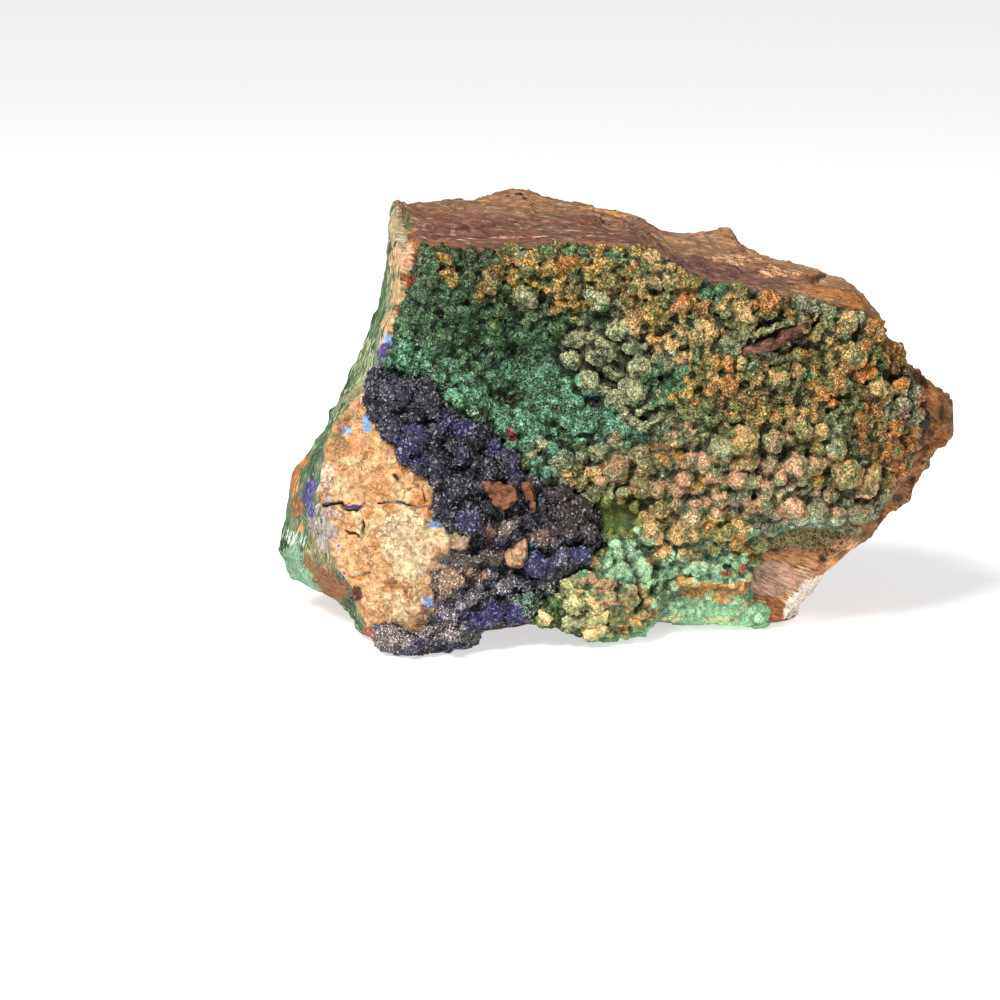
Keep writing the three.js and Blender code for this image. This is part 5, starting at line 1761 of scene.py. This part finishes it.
# %% Gossan
def gossan_finish():
    """Long grain where the rock is layered or fibrous, and fine brown lines where it is flaky."""
    material, graph, place = start_finish("gossan")
    layered, fibrous, flaky = (graph.attribute(name) for name in ("layered", "fibrous", "flaky"))
    coarse = grain(graph, place, 1.4, 4.0)
    texture = (1 - layered - fibrous - flaky) * grain(graph, place, 0.28, 3.0)
    texture = texture + flaky * grain(graph, place, 0.9, 5.0)
    grooved = graph.attribute("grooved")
    texture = texture + (layered - grooved) * streaks(graph, place, BEDDING, 0.4)
    texture = texture + grooved * streaks(graph, place, STRIAE, 0.4, 5)
    texture = texture + fibrous * streaks(graph, place, FIBRE, 0.35)
    light = 0.45 + 0.4 * graph.step(0.3, 0.7, coarse)
    light = light + (0.7 - 0.35 * flaky) * graph.step(0.34, 0.66, texture)
    light = light + flaky * (0.35 * threads(graph, place, 1.2) - 0.06)
    light = light + 0.4 * grooved * (graph.step(0.4, 0.6, texture) - 0.5)
    light = light - 0.6 * graph.attribute("grainy") * (1 - threads(graph, place, 1.1))
    colour = shaded(graph, painted(graph, texture), light)
    pale = (0.4 * layered + 0.7 * fibrous) * graph.step(0.57, 0.68, texture)
    colour = graph.mix(pale, colour, rgba(206, 192, 166))
    wrinkle = graph.maths("ABSOLUTE", grain(graph, place, 2.6, 4.0) - 0.5)
    line = flaky * (1 - graph.step(0.0, 0.035, wrinkle)) * graph.step(0.4, 0.55, grain(graph, place, 3.0))
    colour = graph.mix(0.7 * line, colour, rgba(150, 92, 50))
    bump = bumped(graph, coarse * 0.8 + texture * 0.8 - line * 0.35, 0.9, 0.5)
    dress(material, {"Base Color": colour, "Roughness": 0.72 + 0.2 * texture, "Normal": bump,
                     "Specular IOR Level": 0.3})
    return material


gossan = gossan_finish()


# %% Give the rock its relief
def break_rock(piece):
    mesh = piece.data
    face = to_face(read_points(mesh))
    out = read_normals(mesh) @ AXES.T
    region = rock_regions(face, out)
    cracks = crack_depth(face[:, 0], face[:, 1]) * (1 - region["covered"])
    moved = face + out * rock_relief(face, region)[:, None]
    write_points(mesh, to_model(moved))
    keep_in_box(mesh)
    paint_rock(mesh, region, cracks)
    mesh.materials.clear()
    mesh.materials.append(gossan)


break_rock(rock)

# %% [markdown]
# ## Chips and the thin wall
# Three angular chips of rock stand out of the azurite, and a thin brown wall runs through the
# malachite. Each is a block with its own outline and a leaning front, melted at a fine voxel so
# that its edges are a little worn, and then roughened.

# %% Chips and the wall
CHIP_VOXEL = 0.2
# Outlines of the chips, each corner with how far it rises: [across, up, rise].
CHIP_OUTLINES = [
    [[-23.2, 25, 0], [-17.4, 24.5, 0.9], [-16.5, 21.8, 1.5], [-19.4, 19.2, 1.1], [-20.5, 20.5, 0.3],
     [-22, 22.3, -0.2]],
    [[-16.4, 24.6, -0.2], [-14.9, 24.7, 0.3], [-13.7, 21.8, 0.6], [-14.2, 19.5, 0.4], [-15.3, 21.6, 0]],
    [[-18.1, 13.8, 0.2], [-16.8, 15.4, 0.3], [-15.4, 15.1, 0.9], [-15, 12.2, 1.2], [-16.3, 10.4, 0.8],
     [-18.5, 10.9, 0.1], [-19, 12.8, 0]],
]
WALL_OUTLINES = [
    [[19.3, 44.9, 0], [19.6, 46.2, 0.2], [25, 47.9, 0.5], [29.4, 49.6, 0.2], [30.4, 49, 0],
     [25.4, 46.4, 0.3]],
    [[25.4, 48.5, 0.2], [30.6, 50.4, 0], [30.8, 49.9, 0], [26, 48.1, 0.3]],
]
CHIP_COLOURS = [srgb(144, 96, 68), srgb(136, 86, 60), srgb(212, 168, 130)]


def prism(body, outline, back, front, taper=0.88):
    """A block with a given outline whose front leans as its corners rise."""
    outline = np.array(outline)
    middle = outline[:, :2].mean(axis=0)
    drawn_in = middle + taper * (outline[:, :2] - middle)
    low = [body.verts.new(to_model([*place, back])) for place in outline[:, :2]]
    high = [body.verts.new(to_model(top)) for top in np.column_stack([drawn_in, front - outline[:, 2]])]
    wrap_block(body, low, high)


def chips_and_wall():
    body = bmesh.new()
    fronts = [rock_front(slab) for slab in [*CHIPS, SEPTUM, SEPTUM]]
    for outline, front in zip([*CHIP_OUTLINES, *WALL_OUTLINES], fronts):
        prism(body, outline, front + 7, front - 0.3)
    bmesh.ops.recalc_face_normals(body, faces=body.faces)
    piece = object_from("gossan_chips", body)
    melt(piece, CHIP_VOXEL)
    mesh = settle(piece)
    face = to_face(read_points(mesh))
    out = read_normals(mesh) @ AXES.T
    relief = 0.4 * rough_clouds(face, 2.2, 91, 3) + 0.45 * (ease(-0.04, 0.04, clouds(face, 1.1, 92)) - 0.5)
    face += out * relief[:, None]
    write_points(mesh, to_model(face))
    keep_in_box(mesh)
    middles = [np.array(outline)[:, :2].mean(axis=0) for outline in CHIP_OUTLINES]
    away = [np.hypot(*(face[:, :2] - middle).T) for middle in middles]
    colour = np.array(CHIP_COLOURS)[np.argmin(away, axis=0)]
    colour[face[:, 0] > 10] = srgb(94, 58, 42)
    # Painted light and shade: dark lines stand for the shade of grooves, faces that turn out and up are
    # painted lighter, and faces that turn left darker.
    groove = 0.4 + 0.6 * ease(0.0, 0.12, np.abs(rough_clouds(face, 1.7, 94, 2)))
    light = groove * (0.35 + 0.75 * ease(0.2, -0.8, out[:, 2])) * (1 + 0.3 * ease(0.1, 0.7, out[:, 1]))
    light *= 0.7 + 0.4 * ease(-0.4, 0.2, out[:, 0])
    colour = mottled(colour, face, 0.8, 93, 0.6) * light[:, None]
    write_colours(mesh, "tint", np.clip(colour, 0, 1))
    write_values(mesh, "layered", 0.8 * (face[:, 0] > 10))
    mesh.materials.append(gossan)
    print("gossan_chips", triangles(mesh), "triangles")
    return piece


chips = chips_and_wall()

# %% [markdown]
# ## Hang the pieces on the body
# Each piece rides on the one body, and the solid of the model that it stands for is hidden. Each
# took its finish as it was built.

for piece in malachite_pieces:
    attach(piece, "root")
    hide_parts("malachite_crust")
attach(druse, "root")
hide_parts("azurite_crust")
for piece in (rock, chips):
    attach(piece, "root")
    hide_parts("matrix_rock")

# %% [markdown]
# ## Floor, light and camera
# A mineral is lit so that its grain shows: a soft light from above and in front, a little to the
# left, a weaker and broader one from the right, and a pale room all round. The floor is plain and
# pale.

# %% Floor
FLOOR_REACH = 3
corners = [(x * FLOOR_REACH, y * FLOOR_REACH, 0) for x, y in ((-1, -1), (1, -1), (1, 1), (-1, 1))]
floor = object_from_points("floor", corners, [(0, 1, 2, 3)])
floor_finish, _, _ = start_finish("floor")
dress(floor_finish, {"Base Color": rgba(235, 235, 235), "Roughness": 0.9, "Specular IOR Level": 0.1,
                     "Emission Color": (1, 1, 1, 1), "Emission Strength": 0.6})
floor.data.materials.append(floor_finish)


# %% Lights
def soft_light(name, at, size, watts):
    """A square area light that looks at the middle of the piece."""
    light = bpy.data.lights.new(name, "AREA")
    light.energy, light.size = watts, size
    made = new_object(name, light)
    made.location = at
    made.rotation_euler = (Vector((0, 0, 0.03)) - Vector(at)).to_track_quat("-Z", "Y").to_euler()


soft_light("key", (-0.28, -0.42, 0.6), 0.3, 8.4)
soft_light("fill", (0.7, -0.6, 0.3), 0.6, 0.8)
world = bpy.data.worlds.new("room")
world.use_nodes = True
world.node_tree.nodes["Background"].inputs["Color"].default_value = (1, 1, 1, 1)
world.node_tree.nodes["Background"].inputs["Strength"].default_value = 0.22
bpy.context.scene.world = world

# %% Camera
LENS = 151.2
CAMERA_AT = (-0.019187, -0.689533, 0.167638)
CAMERA_TILT = math.radians(78)
camera_data = bpy.data.cameras.new("camera")
camera_data.lens, camera_data.sensor_width = LENS, 36
camera_data.clip_start = 0.05
camera = new_object("camera", camera_data)
camera.location = CAMERA_AT
camera.rotation_euler = (CAMERA_TILT, 0, 0)
bpy.context.scene.camera = camera
bpy.context.scene.view_settings.view_transform = "Standard"
